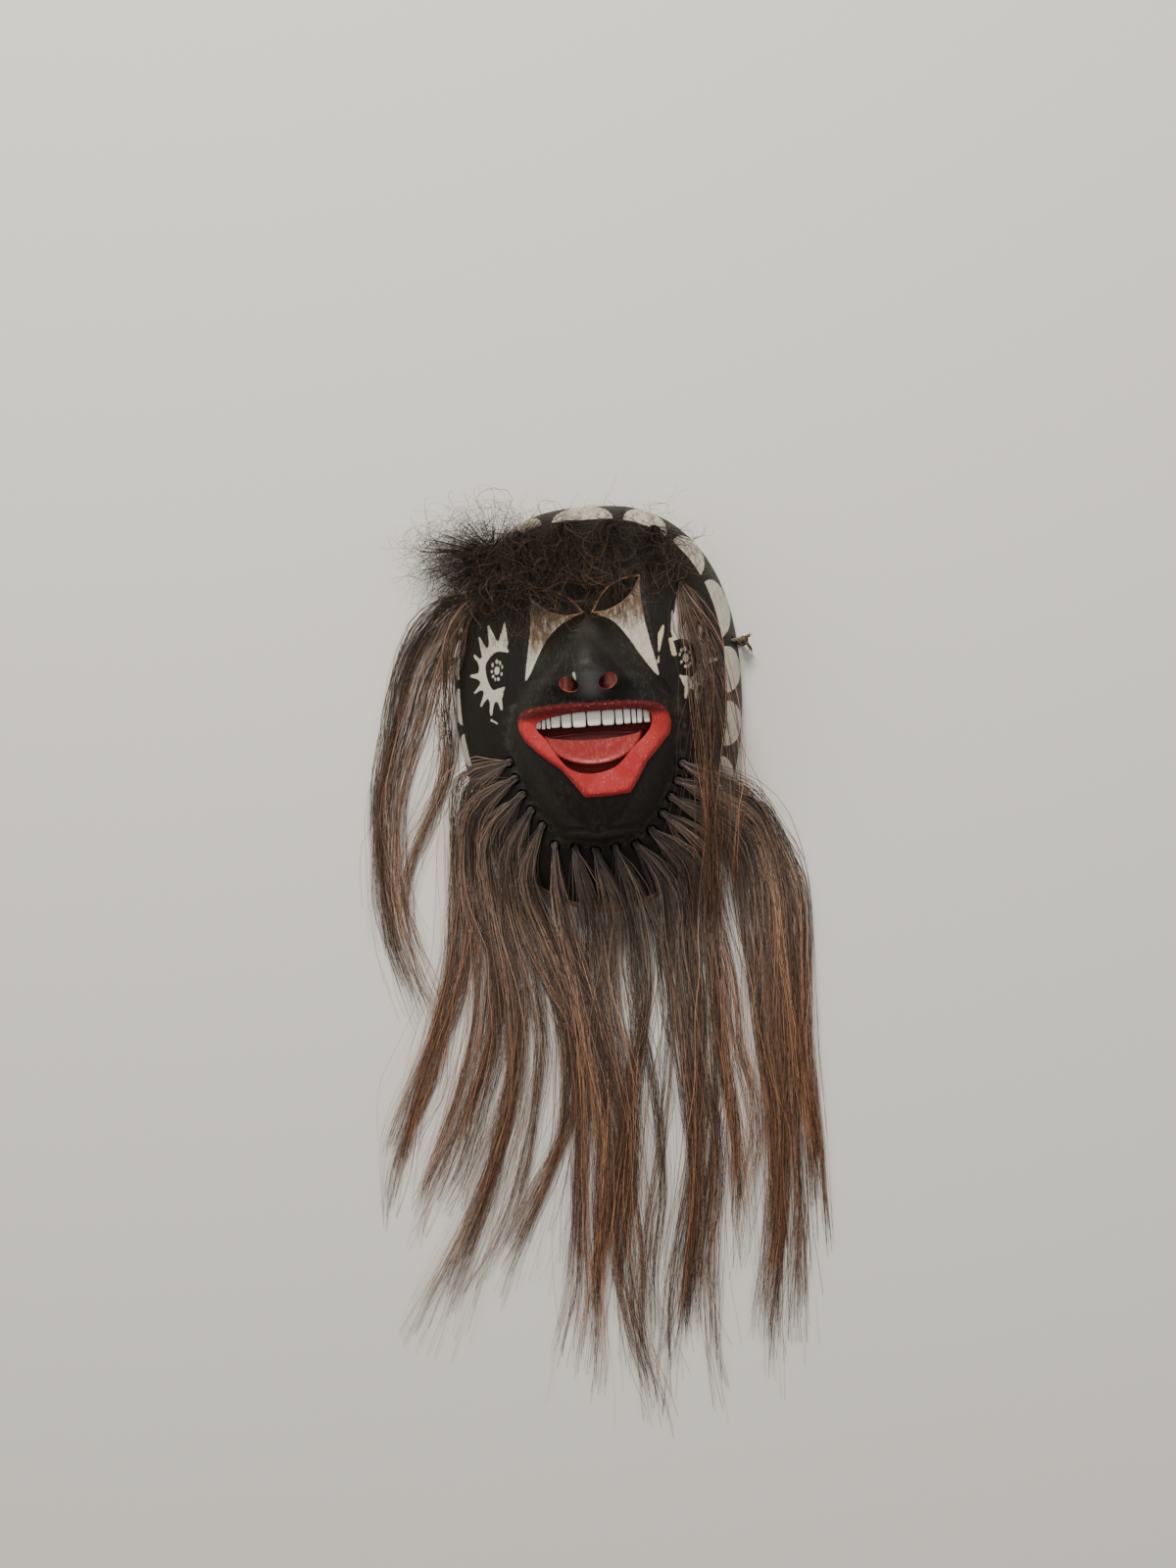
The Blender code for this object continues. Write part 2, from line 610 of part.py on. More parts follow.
def rest_heights(points, halves, thicks, under, start):
    """Heights at which a tuft clears what is under it and droops no faster than hair can.

    The first point is the mouth of the socket, where the height is given."""
    places = np.arange(len(points))
    between = np.linspace(0, places[-1], places[-1] * SPAN_CHECKS + 1)
    fine = np.stack([np.interp(between, places, points[:, k]) for k in (0, 1)], axis=1)
    wanted = height_needed(
        fine, np.interp(between, places, halves), np.interp(between, places, thicks), under
    )
    wanted[: SPAN_CHECKS // 2] = 0
    needed = wanted[::SPAN_CHECKS].copy()
    needed[0] = start
    runs = np.hypot(*np.diff(points, axis=0).T)
    heights = needed.copy()
    for k in range(1, len(heights)):
        heights[k] = max(heights[k], heights[k - 1] - STEEPEST_HAIR * runs[k - 1])
    for k in range(len(heights) - 2, 0, -1):
        heights[k] = max(heights[k], heights[k + 1] - STEEPEST_HAIR * runs[k])
    for _ in range(DRAPE_PASSES):
        heights[1:-1] = (heights[:-2] + 2 * heights[1:-1] + heights[2:]) / 4
        heights[1:] = np.maximum(heights[1:], needed[1:])
    for k in range(1, len(heights)):
        span = slice((k - 1) * SPAN_CHECKS, k * SPAN_CHECKS + 1)
        short = (wanted - np.interp(between, places, heights))[span].max()
        if short > 0:
            heights[k] += 2 * short if k == 1 else short
            heights[k - 1] += 0 if k == 1 else short
    return heights[1:]


def tuft(name, path, halves, thicks, under, material, sides=TUFT_SIDES):
    """One tuft: a plug in its socket, then a body that lies along its path. Returns its rings' sizes."""
    x, y = path[0]
    spot = socket_spot(x, y)
    way = outward(x, y)
    mouth = spot + way * HAIR_LIFT
    plug = SOCKET_DIAMETER / 2 * math.cos(math.pi / SOCKET_SIDES) - FIT_GAP
    heights = rest_heights(
        path, np.append(plug, halves), np.append(2 * plug, thicks), under, mouth.z
    )
    rings = [
        ring(spot - way * (SOCKET_DEPTH - FIT_GAP), way, plug, plug, sides),
        ring(mouth, way, plug, plug, sides),
    ]
    middles = np.column_stack([path[1:], heights])
    ways = directions(np.vstack([[mouth], middles]))[1:]
    for middle, along, half, thick in zip(middles, ways, halves, thicks):
        rings.append(ring(Vector(middle), Vector(along), half, thick / 2, sides, TUFT_LOBE))
    shape = bmesh.new()
    loft(shape, rings)
    mesh_object(name, shape, parts, material)
    return np.column_stack([middles, halves, thicks])


def fan_line(share):
    """The path of a beard tuft in plan: its socket, then the fan at this share of the jaw."""
    chin_x, chin_y = jaw_socket(0.5)
    columns = []
    for step in range(len(FAN_LINES[0])):
        across = smooth([(q / 4, line[step][0]) for q, line in enumerate(FAN_LINES)], share)
        down = smooth([(q / 4, line[step][1]) for q, line in enumerate(FAN_LINES)], share)
        columns.append((float(across) * BEARD_LENGTH, chin_y - float(down) * BEARD_LENGTH))
    return np.array([jaw_socket(share), *columns])


def fan_place(share, at):
    """Places along the fan, from 0 at the socket to 1 at the full length."""
    line = fan_line(share)
    return np.stack([smooth(list(zip(FAN_STEPS, line[:, k])), at) for k in (0, 1)], axis=1)


def beard(material):
    """The beard: each tuft as wide as the fan allows beside its neighbours."""
    laid = []
    for k, share in enumerate(beard_shares()):
        at = closer_at_root(TUFT_RINGS) * TUFT_ENDS[k % len(TUFT_ENDS)]
        path = fan_place(share, at)
        ways = directions(path)
        room = np.full(len(at), np.inf)
        for side in (-0.5, 0.5):
            beside = fan_place(share + side / BEARD_TUFTS, at)
            gap = np.abs(ways[:, 0] * (beside - path)[:, 1] - ways[:, 1] * (beside - path)[:, 0])
            room = np.minimum(room, gap)
        taper = smooth(BEARD_TAPER, closer_at_root(TUFT_RINGS))
        halves = np.maximum(room * taper - BEARD_PARTING / 2, FIT_GAP)[1:]
        thicks = (BEARD_THICKNESS * taper)[1:]
        laid.append(tuft(f"beard_tuft_{k + 1:02d}", path, halves, thicks, wood_under, material))
    return np.vstack(laid)


def side_locks(beard_rings, material):
    """The two long locks: the left one beside the beard on the surface, the right one over it."""
    taper = smooth(LOCK_TAPER, closer_at_root(TUFT_RINGS)[1:])
    halves = LOCK_WIDTH / 2 * taper
    thicks = LOCK_THICKNESS * taper

    left = path_points(LEFT_LOCK, TUFT_RINGS)
    edges = beard_rings[:, 0] - beard_rings[:, 3]
    for k in range(1, len(left)):
        near = np.abs(beard_rings[:, 1] - left[k, 1]) < LOCK_WIDTH * 2
        if near.any():
            left[k, 0] = min(left[k, 0], edges[near].min() - LOCK_GAP - LOCK_WIDTH / 2)
    tuft("forelock_left", left, halves, thicks, wood_under, material)

    def under(x, y):
        ground = wood_under(x, y)
        for bx, by, bz, half, thick in beard_rings:
            near = np.hypot(x - bx, y - by) < half + LOCK_WIDTH
            ground = np.where(near, np.maximum(ground, bz + thick / 2), ground)
        return ground

    right = path_points(RIGHT_LOCK, TUFT_RINGS)
    tuft("forelock_right", right, halves, thicks, under, material)


def brow_hair(material):
    """Short tufts across the forehead."""
    taper = smooth(BROW_TAPER, closer_at_root(BROW_RINGS)[1:])
    halves = BROW_TUFT_WIDTH / 2 * taper
    thicks = BROW_TUFT_THICKNESS * taper
    for k, shares in enumerate(BROW_TUFTS):
        path = path_points(shares, BROW_RINGS)
        tuft(f"brow_tuft_{k + 1}", path, halves, thicks, wood_under, material, BROW_SIDES)


def tube(shape, points, radius, closed):
    """Adds a round cord through these points, which run nearly square to Y."""
    points = [Vector(point) for point in points]
    rings = []
    for k, point in enumerate(points):
        before = points[k - 1] if closed or k else point
        after = points[(k + 1) % len(points)] if closed or k + 1 < len(points) else point
        way = (after - before).normalized()
        aside = Vector((0, 1, 0))
        up = way.cross(aside).normalized()
        rings.append([
            point + (aside * math.cos(turn) + up * math.sin(turn)) * radius
            for turn in (2 * math.pi * n / TIE_SIDES for n in range(TIE_SIDES))
        ])
    if not closed:
        loft(shape, rings)
        return
    rows = [[shape.verts.new(point) for point in ring_points] for ring_points in rings]
    for lower, upper in zip(rows, rows[1:] + rows[:1]):
        for k in range(TIE_SIDES):
            after = (k + 1) % TIE_SIDES
            shape.faces.new((lower[k], lower[after], upper[after], upper[k]))


def tie(name, side, material):
    """A cord through the hole, round the rim and knotted outside, with two short ends."""
    radius = TIE_DIAMETER / 2
    clear = radius + FIT_GAP
    outside = HALF_WIDTH + clear
    inside = wall_at(TIE_HOLE_HEIGHT, WALL) - clear
    low, high = clear, TIE_HOLE_HEIGHT
    corner = radius * 1.5
    points = []
    for x, z, turn_from in (
        (outside - corner, low + corner, -90), (outside - corner, high - corner, 0),
        (inside + corner, high - corner, 90), (inside + corner, low + corner, 180),
    ):
        for k in range(4):
            turn = math.radians(turn_from + 30 * k)
            points.append((side * (x + corner * math.cos(turn)), TIE_LEVEL, z + corner * math.sin(turn)))
    shape = bmesh.new()
    tube(shape, points, radius, closed=True)
    obj = mesh_object(name, shape, parts, material)
    knot = bmesh.new()
    middle = Vector((side * (outside + radius), TIE_LEVEL, high / 2))
    bmesh.ops.create_uvsphere(
        knot, u_segments=9, v_segments=6, radius=TIE_DIAMETER, matrix=Matrix.Translation(middle)
    )
    combine(obj, cutter_object(f"{name}_knot", knot), "UNION")
    for k, (run, splay, rise) in enumerate(((0.88, 0.31, 0.35), (0.78, -0.27, -0.55))):
        tail = bmesh.new()
        way = Vector((side * run, splay, rise)) * TIE_TAIL
        tube(tail, [middle + way * 0.07, middle + way * 0.53, middle + way], radius * 0.8, closed=False)
        combine(obj, cutter_object(f"{name}_end_{k + 1}", tail), "UNION")


def centre_under_object():
    """Moves everything so that the origin is under the middle of the whole object."""
    bpy.context.view_layer.update()
    graph = bpy.context.evaluated_depsgraph_get()
    corners = []
    for obj in parts.objects:
        shown = obj.evaluated_get(graph)
        corners += [shown.matrix_world @ vert.co for vert in shown.data.vertices]
    corners = np.array(corners)
    low, high = corners.min(axis=0), corners.max(axis=0)
    frame = bpy.data.objects.new("mask_frame", None)
    frame.location = (-(low[0] + high[0]) / 2, -(low[1] + high[1]) / 2, -low[2])
    parts.objects.link(frame)
    for obj in (*parts.objects, *cutters.objects):
        if obj is not frame:
            obj.parent = frame


for old in list(bpy.data.objects):
    bpy.data.objects.remove(old, do_unlink=True)
parts = collection("festival_mask")
cutters = collection("cutters")

body = shell()
plane_rim(body)
cut_mouth(body)
carve_teeth(body)
carve_tongue(body)
pierce_eyes(body)
cut_nostrils(body)
drill_sockets(body)
cut_tie_ways(body)

horsehair = paint("horsehair", (0.045, 0.022, 0.013), 0.45)
laid_beard = beard(horsehair)
side_locks(laid_beard, horsehair)
brow_hair(paint("short_frizzy_hair", (0.012, 0.008, 0.006), 0.6))
twine = paint("twine", (0.30, 0.19, 0.12), 0.8)
tie("tie_left", -1, twine)
tie("tie_right", 1, twine)
centre_under_object()
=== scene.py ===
"""The looks of a carved festival mask: its paint and bare wood, its horsehair, and its side ties.

Metres, +Z up. The mask lies on its flat rim with its face up. Every shape is worked out about the
middle of the rim, with +Y to the top of the head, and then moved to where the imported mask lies.
"""

import math

import bmesh
import bpy
import numpy as np
from mathutils import Matrix, Vector


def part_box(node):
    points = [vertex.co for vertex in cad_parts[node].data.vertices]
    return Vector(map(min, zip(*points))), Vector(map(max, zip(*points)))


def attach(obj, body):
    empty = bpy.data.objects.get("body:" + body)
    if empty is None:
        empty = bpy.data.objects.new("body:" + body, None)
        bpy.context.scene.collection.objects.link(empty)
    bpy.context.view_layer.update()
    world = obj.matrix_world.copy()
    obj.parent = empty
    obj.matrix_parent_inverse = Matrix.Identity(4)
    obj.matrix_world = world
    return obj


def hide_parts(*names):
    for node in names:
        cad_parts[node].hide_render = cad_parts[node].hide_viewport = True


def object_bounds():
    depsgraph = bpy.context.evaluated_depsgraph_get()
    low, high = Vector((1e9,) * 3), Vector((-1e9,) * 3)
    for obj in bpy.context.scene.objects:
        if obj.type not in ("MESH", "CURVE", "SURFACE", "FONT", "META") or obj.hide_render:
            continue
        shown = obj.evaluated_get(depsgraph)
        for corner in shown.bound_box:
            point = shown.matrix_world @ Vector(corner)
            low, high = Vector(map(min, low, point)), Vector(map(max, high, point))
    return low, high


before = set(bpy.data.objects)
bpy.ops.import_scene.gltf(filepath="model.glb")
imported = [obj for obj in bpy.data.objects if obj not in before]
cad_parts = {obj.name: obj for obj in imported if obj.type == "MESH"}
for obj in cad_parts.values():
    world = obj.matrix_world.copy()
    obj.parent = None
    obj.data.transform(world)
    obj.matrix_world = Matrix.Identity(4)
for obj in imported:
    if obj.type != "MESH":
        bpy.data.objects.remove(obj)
cad_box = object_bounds()

mask_low, mask_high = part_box("mask")
RIM_MIDDLE = np.array([(mask_low[0] + mask_high[0]) / 2, (mask_low[1] + mask_high[1]) / 2, 0.0])
MM = 0.001
SMALL = 1e-9

# The mask's shape, with the values of its solids
MASK_WIDTH = 0.141
MASK_HEIGHT = 0.200
FACE_DEPTH = 0.050
WIDEST_LEVEL = 0.008
WALL = 0.008
HEAD_SQUARENESS = 2.4
CHIN_SQUARENESS = 2.0
HALF_WIDTH = MASK_WIDTH / 2
HALF_HEIGHT = MASK_HEIGHT / 2
MUZZLE_RISE = 0.0125
MUZZLE_EDGE = 0.0135
NOSE_RISE = 0.0125
NASION_DIP = 0.0045
FACET_DEPTH = 0.003
LIP_RISE = 0.002
LIP_SLOPE = 0.4
LIP_CREST = 0.002
MOUTH_DEPTH = 0.011
NOSE_HOLLOW = 0.012
EYE_LENGTH = 0.0265
EYE_HEIGHT = 0.0092
NOSTRIL_DEPTH = 0.007
TOOTH_HEIGHT = 0.0078
TOOTH_SETBACK = 0.0045
TOOTH_GAP = 0.0004
SOCKET_DIAMETER = 0.0056
SOCKET_DEPTH = 0.005
JAW_OFFSET = 0.0035
HAIR_LIFT = 0.0012
FIT_GAP = 0.0003
BEARD_TUFTS = 15
TIE_DIAMETER = 0.0022
TIE_LEVEL = 0.028
TIE_HOLE_HEIGHT = 0.014
TIE_HOLE_DIAMETER = 0.0038
EDGE_START = 0.1 * MUZZLE_EDGE  # how far past its outline the muzzle starts to rise
FACET_END = 1.15  # the share of a flat's width where its depth would come to nothing
FACET_SWELL = 0.6  # how far through a half wave its depth goes along the muzzle

# Shares of the half width and the half height of the mask, as in its solids
MUZZLE_OUTLINE = (
    (-0.66, 0.0), (-0.62, 0.205), (-0.57, 0.29), (-0.50, 0.369), (-0.40, 0.447), (-0.30, 0.503),
    (-0.20, 0.539), (-0.10, 0.553), (0.0, 0.51), (0.10, 0.44), (0.19, 0.352), (0.27, 0.27),
    (0.36, 0.17), (0.42, 0.071), (0.47, 0.0),
)
MUZZLE_FULLNESS = (
    (-0.66, 1.0), (-0.45, 1.04), (-0.20, 1.0), (0.10, 1.0), (0.30, 0.75), (0.42, 0.4), (0.50, 0.1),
)
NOSE_PROFILE = (
    (0.0, 0.0), (0.04, 0.25), (0.09, 0.78), (0.14, 1.0), (0.20, 0.97), (0.28, 0.7), (0.36, 0.4),
    (0.44, 0.12), (0.52, 0.0),
)
NOSE_WIDTH = ((0.0, 0.24), (0.10, 0.23), (0.20, 0.20), (0.30, 0.15), (0.44, 0.09))
NASION = (0.46, 0.128, 0.09)
FACET_OUTER_TOP = (0.348, 0.57)
FACET_TIP = (0.44, 0.107)
FACET_LEVELS = (0.107, 0.45)
OUTER_LIPS = (
    (-0.484, -0.055), (-0.455, -0.024), (-0.38, -0.011), (-0.215, -0.004), (0.04, -0.002),
    (0.30, -0.008), (0.425, -0.02), (0.481, -0.043), (0.50, -0.107), (0.49, -0.155),
    (0.417, -0.216), (0.332, -0.282), (0.267, -0.362), (0.218, -0.413), (0.08, -0.422),
    (-0.07, -0.424), (-0.129, -0.366), (-0.203, -0.30), (-0.338, -0.224), (-0.435, -0.156),
    (-0.474, -0.105),
)
MOUTH = (
    (-0.36, -0.075), (-0.16, -0.047), (0.04, -0.043), (0.372, -0.042), (0.382, -0.108),
    (0.353, -0.149), (0.238, -0.222), (0.174, -0.275), (0.113, -0.303), (0.013, -0.321),
    (-0.087, -0.316), (-0.165, -0.292), (-0.221, -0.243), (-0.277, -0.177), (-0.305, -0.148),
    (-0.357, -0.11),
)
TOOTH_EDGES = (-0.365, -0.323, -0.292, -0.261, -0.194, -0.123, -0.031, 0.064, 0.148, 0.201,
               0.25, 0.285, 0.323, 0.373)
TOOTH_TOP_LEVEL = -0.03
TONGUE = (0.0, -0.138)
TONGUE_REACH = (0.312, 0.142)
EYES = ((0.193, 0.497, 35.5), (-0.208, 0.474, 156.0))
NOSTRILS = ((0.125, 0.078, 32.0), (-0.12, 0.074, 165.0))
NOSTRIL_REACH = (0.066, 0.034)
JAW_START, JAW_SWEEP = 180.0, 172.0
MUZZLE_MIDDLE = -0.20
LEFT_LOCK_ROOT = (-0.76, 0.54)
RIGHT_LOCK_ROOT = (0.62, 0.53)
BROW_TUFTS = (
    ((-0.62, 0.76), (-0.82, 0.77), (-1.02, 0.69)),
    ((-0.42, 0.83), (-0.47, 0.66), (-0.53, 0.47)),
    ((-0.13, 0.86), (-0.15, 0.66), (-0.17, 0.46)),
    ((0.17, 0.86), (0.16, 0.68), (0.14, 0.52)),
    ((0.47, 0.82), (0.48, 0.72), (0.47, 0.62)),
)

# The marks of the gouge on the face and in the hollow, and how steeply they end at the rim
GOUGE_WAVE = 0.0001
MARKS_END = 4
SCOOP_WIDTH = 0.0095
SCOOP_LENGTH = 0.023
SCOOP_DEPTH = 0.00055
SCOOPS_END = 5

# The teeth and the tongue
TOOTH_INSET = 0.0008  # how far the teeth start below the tops of the solids' blocks
TOOTH_FOOT = 0.0006  # how deep they stand in the floor of the mouth
TOOTH_CROWN = 0.0018  # how far their rounded fronts stand out of those blocks
TOOTH_SQUARENESS = 0.28  # 1 would be oval, 0 square
TOOTH_TAPER = 0.05  # how much narrower a tooth is at its foot
TOOTH_ROWS = (  # height beside the front, share of the full outline, how brown
    (-0.0012, 1.0, 1.0), (-0.0006, 0.985, 0.75), (-0.0002, 0.92, 0.0), (0.0, 0.8, 0.0),
    (0.0001, 0.5, 0.0), (0.00012, 0.15, 0.0),
)
TONGUE_ROWS = (  # height above the floor, share of the full outline, how much painted shade
    (-0.0005, 1.0, 1.0), (0.0028, 1.0, 0.7), (0.0040, 0.985, 0.2), (0.0046, 0.95, 0.0),
    (0.0045, 0.9, 0.0), (0.0040, 0.82, 0.1), (0.0037, 0.68, 0.05), (0.0037, 0.45, 0.0),
    (0.0038, 0.2, 0.0), (0.0038, 0.05, 0.0),
)
TONGUE_TILT = 0.0012  # how much higher its upper edge lies than its tip
TONGUE_BOW = 0.0006  # how much its upper edge bows
TONGUE_SHADE_DEPTH = 3.1  # millimetres of painted shade, in the mouth's dark red, over its top, less towards the sides
TONGUE_SHADE_CURVE = 2.4

# The painted ornament, in millimetres on the face seen from the front
FAR = 99.0  # where a search for the nearest stroke starts
EYE_FLASH_RIGHT = (
    (24.4, 57.3), (24.8, 47.5), (26.4, 33.8), (29.0, 22.0), (31.5, 10.2), (29.8, 11.2), (24.5, 18.3),
    (19.2, 27.4), (13.9, 35.0), (9.5, 38.7), (3.6, 40.5), (6.2, 42.5), (16.0, 46.5),
)
EYE_FLASH_LEFT = (
    (-27.0, 53.3), (-25.9, 41.4), (-27.0, 31.8), (-29.1, 20.2), (-30.4, 11.0), (-27.4, 14.1),
    (-24.0, 22.7), (-17.9, 32.6), (-11.3, 37.8), (-4.2, 40.6), (-8.0, 43.0), (-18.0, 46.0),
)
SUN_BAND = (  # across, up, half the width
    (-37.9, 26.8, 0.6), (-40.3, 28.8, 1.7), (-43.4, 29.5, 2.1), (-46.3, 28.2, 1.9), (-49.0, 25.9, 1.9),
    (-50.9, 23.2, 1.7), (-51.5, 19.4, 1.7), (-51.0, 15.8, 1.9), (-50.0, 11.9, 1.9), (-48.3, 8.6, 2.2),
    (-45.9, 7.0, 2.4), (-43.3, 8.2, 2.1), (-40.6, 10.4, 0.4),
)
SUN_RAYS = (  # tip across and up, its half width, root across and up, its half width
    (-38.8, 40.5, 0.3, -39.9, 31.2, 2.4), (-47.2, 40.2, 0.45, -45.0, 31.6, 2.1),
    (-52.2, 35.3, 0.45, -49.7, 28.2, 1.7), (-55.3, 27.2, 0.5, -52.1, 23.4, 1.0),
    (-57.6, 17.9, 0.7, -53.1, 17.0, 1.4), (-56.2, 9.7, 0.4, -52.0, 12.2, 1.4),
    (-53.0, 3.4, 0.6, -50.1, 7.8, 1.3), (-48.1, -1.3, 0.6, -47.0, 5.7, 1.3),
    (-42.5, 0.4, 0.5, -43.5, 6.3, 1.3),
)
SUN_PETALS = (  # across, up, half the width, half the height
    (-43.6, 22.7, 0.6, 1.1), (-41.9, 22.0, 0.5, 0.95), (-41.0, 20.1, 0.45, 0.95),
    (-41.5, 16.7, 0.5, 0.95), (-43.2, 14.6, 0.6, 0.8), (-44.8, 14.6, 0.45, 0.9),
    (-45.9, 16.1, 0.6, 0.8), (-46.3, 18.5, 0.5, 0.85), (-45.8, 21.3, 0.5, 1.05), (-43.7, 18.5, 1.4, 1.9),
)
STRAY_STROKES = (  # across, up and half the width at both ends
    (41.8, 50.0, 0.3, 40.3, 32.0, 1.7), (-48.2, -4.0, 0.5, -45.2, -5.9, 0.3),
    (-5.5, 11.6, 0.7, -4.9, 9.0, 0.3),
)
DRIPS = (
    (34.4, 33.6, 0.4, 32.9, 29.8, 1.2), (32.9, 29.8, 1.2, 31.7, 22.0, 0.4),
    (31.4, 20.0, 0.25, 31.0, 17.0, 0.45), (37.2, 27.0, 0.9, 38.5, 20.6, 1.2),
)
BORDER_SHARE = 0.884  # the inner line of the painted border
BORDER_LEFT = 0.043  # how much nearer to the rim it runs on the left
BORDER_REACH = 0.94  # how near to the rim its arches come
BORDER_DOMES = (  # degrees round the face where a dome starts and ends, from the right side
    (-27.0, -8.5), (-5.0, 14.5), (18.5, 40.5), (43.5, 58.5), (61.5, 77.0), (80.5, 101.0),
    (104.5, 122.0), (125.5, 139.0), (142.0, 153.0), (156.0, 172.0), (175.5, 191.0), (194.5, 208.0),
    (211.5, 222.5), (317.5, 329.0),
)
BORDER_LEAN = 0.16  # how far its arches lean, as a share of their half width
BORDER_WIDTH = 12  # about how wide the border is
BAND_FILLET = 0.3  # how round the corners are where a sun's strokes meet
RAY_FILLET = 1.6
SKIN = 0.9  # how far below the face's surface the paint reaches
EYE_RIM = 0.75  # half the width of the bare edge round an eye
CHIN_STRIP = 4.2  # the width of the bare strip under the chin
CHIN_STRIP_REACH = 0.44  # in radians each way from the chin
SOCKET_SHADE_REACH = 5.8  # how near to a socket's mouth the painted shade inside it reaches
RIDGE_SPAN = 0.0018  # how far each way, in metres, a ridge is compared with what is round it
SHARP_RIDGE = 0.25  # the height that counts as a sharp one

# The colours, as red, green and blue
BLACK_PAINT = (0.0070, 0.0045, 0.0026)
MUZZLE_BLACK = (0.0066, 0.0056, 0.0042)
BLACK_STREAKS = (0.088, 0.080, 0.067)
RIDGE_GREY = (0.07, 0.066, 0.054)
JAW_DUST = (0.085, 0.078, 0.058)
# A painted highlight on the tip of the nose
NOSE_PAINTED_HIGHLIGHT = (0.17, 0.172, 0.168)
WHITE_PAINT = (0.51, 0.47, 0.385)
WHITE_STREAKS = (0.29, 0.25, 0.19)
# Painted shade from above on the white ornament, mixed with grime
SHADE_AND_GRIME_BROWN = (0.125, 0.075, 0.04)
YELLOWED_DRIP = (0.58, 0.47, 0.22)
LIP_RED = (0.375, 0.024, 0.024)
LIP_STREAKS = (0.48, 0.085, 0.075)
# Painted shade on the upper lip, which faces down, away from the light
UPPER_LIP_PAINTED_SHADE = (0.085, 0.007, 0.006)
LIP_SPECKS = (0.62, 0.33, 0.27)
LIP_SCRATCHES = (0.20, 0.015, 0.012)
NOSTRIL_RED = (0.50, 0.10, 0.085)
NOSTRIL_PINK = (0.72, 0.34, 0.28)
# Painted shade deep in the nostrils
NOSTRIL_PAINTED_SHADE = (0.03, 0.006, 0.005)
MOUTH_RED = (0.13, 0.010, 0.008)
# Painted light: the strip under the chin faces away from the light, so its wood is made paler
CHIN_WOOD_PAINTED_LIGHT = (0.66, 0.40, 0.27)
# Painted shade inside the eye holes and the sockets
HOLE_PAINTED_SHADE = (0.024, 0.009, 0.006)
TOOTH_WHITE = (0.92, 0.88, 0.80)
TOOTH_STREAKS = (0.82, 0.77, 0.68)
TOOTH_CORNERS = (0.13, 0.065, 0.04)
TONGUE_RED = (0.325, 0.027, 0.024)
TONGUE_STREAKS = (0.45, 0.10, 0.085)
# Painted shade on the tongue's sides and under it
TONGUE_SIDES_PAINTED_SHADE = (0.13, 0.010, 0.009)
# Painted shade over the tongue's top, where it meets the dark gap of the mouth
TONGUE_TOP_PAINTED_SHADE = (0.065, 0.0035, 0.003)
TWINE_LIGHT = (0.24, 0.17, 0.105)
TWINE_DARK = (0.10, 0.066, 0.04)
# The pale grey of the beard at the root is painted sheen, over hair that is dark there
BEARD_COLOURS = (  # at the root, in the middle and at the tip, as for all the hair
    (0.215, 0.160, 0.134), (0.150, 0.094, 0.064), (0.170, 0.080, 0.040),
)
SIDE_HAIR_COLOURS = ((0.076, 0.043, 0.027), (0.094, 0.052, 0.031), (0.150, 0.074, 0.039))
FRIZZ_COLOURS = ((0.008, 0.0052, 0.0036), (0.013, 0.0083, 0.0054), (0.040, 0.024, 0.0145))

# The paths of the beard, from each socket to the tip, in millimetres
BEARD_PATHS = (
    ((-64, -33), (-71, -60), (-75, -95), (-81, -129), (-91, -160), (-101, -191), (-110, -224),
     (-116, -256)),
    ((-58, -47), (-66, -80), (-63, -115), (-68, -155), (-84, -201), (-98, -240), (-108, -278)),
    ((-53, -57), (-56, -96), (-52, -130), (-54, -169), (-69, -226), (-86, -275), (-100, -318)),
    ((-45, -67), (-46, -96), (-40, -131), (-37, -169), (-46, -227), (-64, -272), (-80, -302)),
    ((-37, -77), (-33, -107), (-22, -141), (-18, -180), (-23, -252), (-33, -325)),
    ((-24, -82), (-22, -112), (-15, -156), (-13, -204), (-21, -276), (-29, -345)),
    ((-10, -90), (-11, -130), (-8, -175), (-4, -215), (-9, -262), (-12, -306)),
    ((2, -95), (-1, -133), (3, -181), (3, -228), (-3, -276), (3, -350)),
    ((14, -94), (18, -133), (11, -181), (4, -252), (5, -360)),
    ((27, -85), (29, -124), (32, -172), (36, -220), (29, -277), (18, -361)),
    ((38, -76), (42, -116), (42, -173), (37, -230), (26, -301), (20, -362)),
    ((48, -72), (52, -116), (54, -164), (56, -207), (53, -278)),
    ((59, -63), (67, -112), (68, -164), (70, -212), (69, -255), (57, -344)),
    ((71, -55), (81, -103), (80, -160), (77, -207), (72, -278), (66, -312)),
    ((71, -49), (87, -85), (91, -130), (92, -184), (92, -232), (89, -280)),
)
LEFT_LOCK_PATH = ((-66, 53), (-80, 40), (-99, -6), (-109, -45), (-109, -93), (-97, -150), (-90, -172))
LEFT_BRANCH_PATH = (
    (-61, 46), (-68, 30), (-73, 6), (-79, -29), (-88, -52), (-99, -79), (-102, -96), (-93, -128),
)
RIGHT_LOCK_PATH = ((46, 46), (51, 26), (52, -10), (52, -40), (54, -86), (56, -134))

# How finely the shapes are made
GRID_ACROSS = 224  # both divisible by four
GRID_UP = 308
GRID_EVEN = 0.45  # the grid's spacing is part even and part crowded towards the rim
GRID_CROWDED = 0.55
EYE_STEPS = 18
MOUTH_ROUNDINGS = 2
DRILL_SIDES = 14
BISECTIONS = 40
CRISP_EDGES = 38  # degrees
TOOTH_POINTS = 32

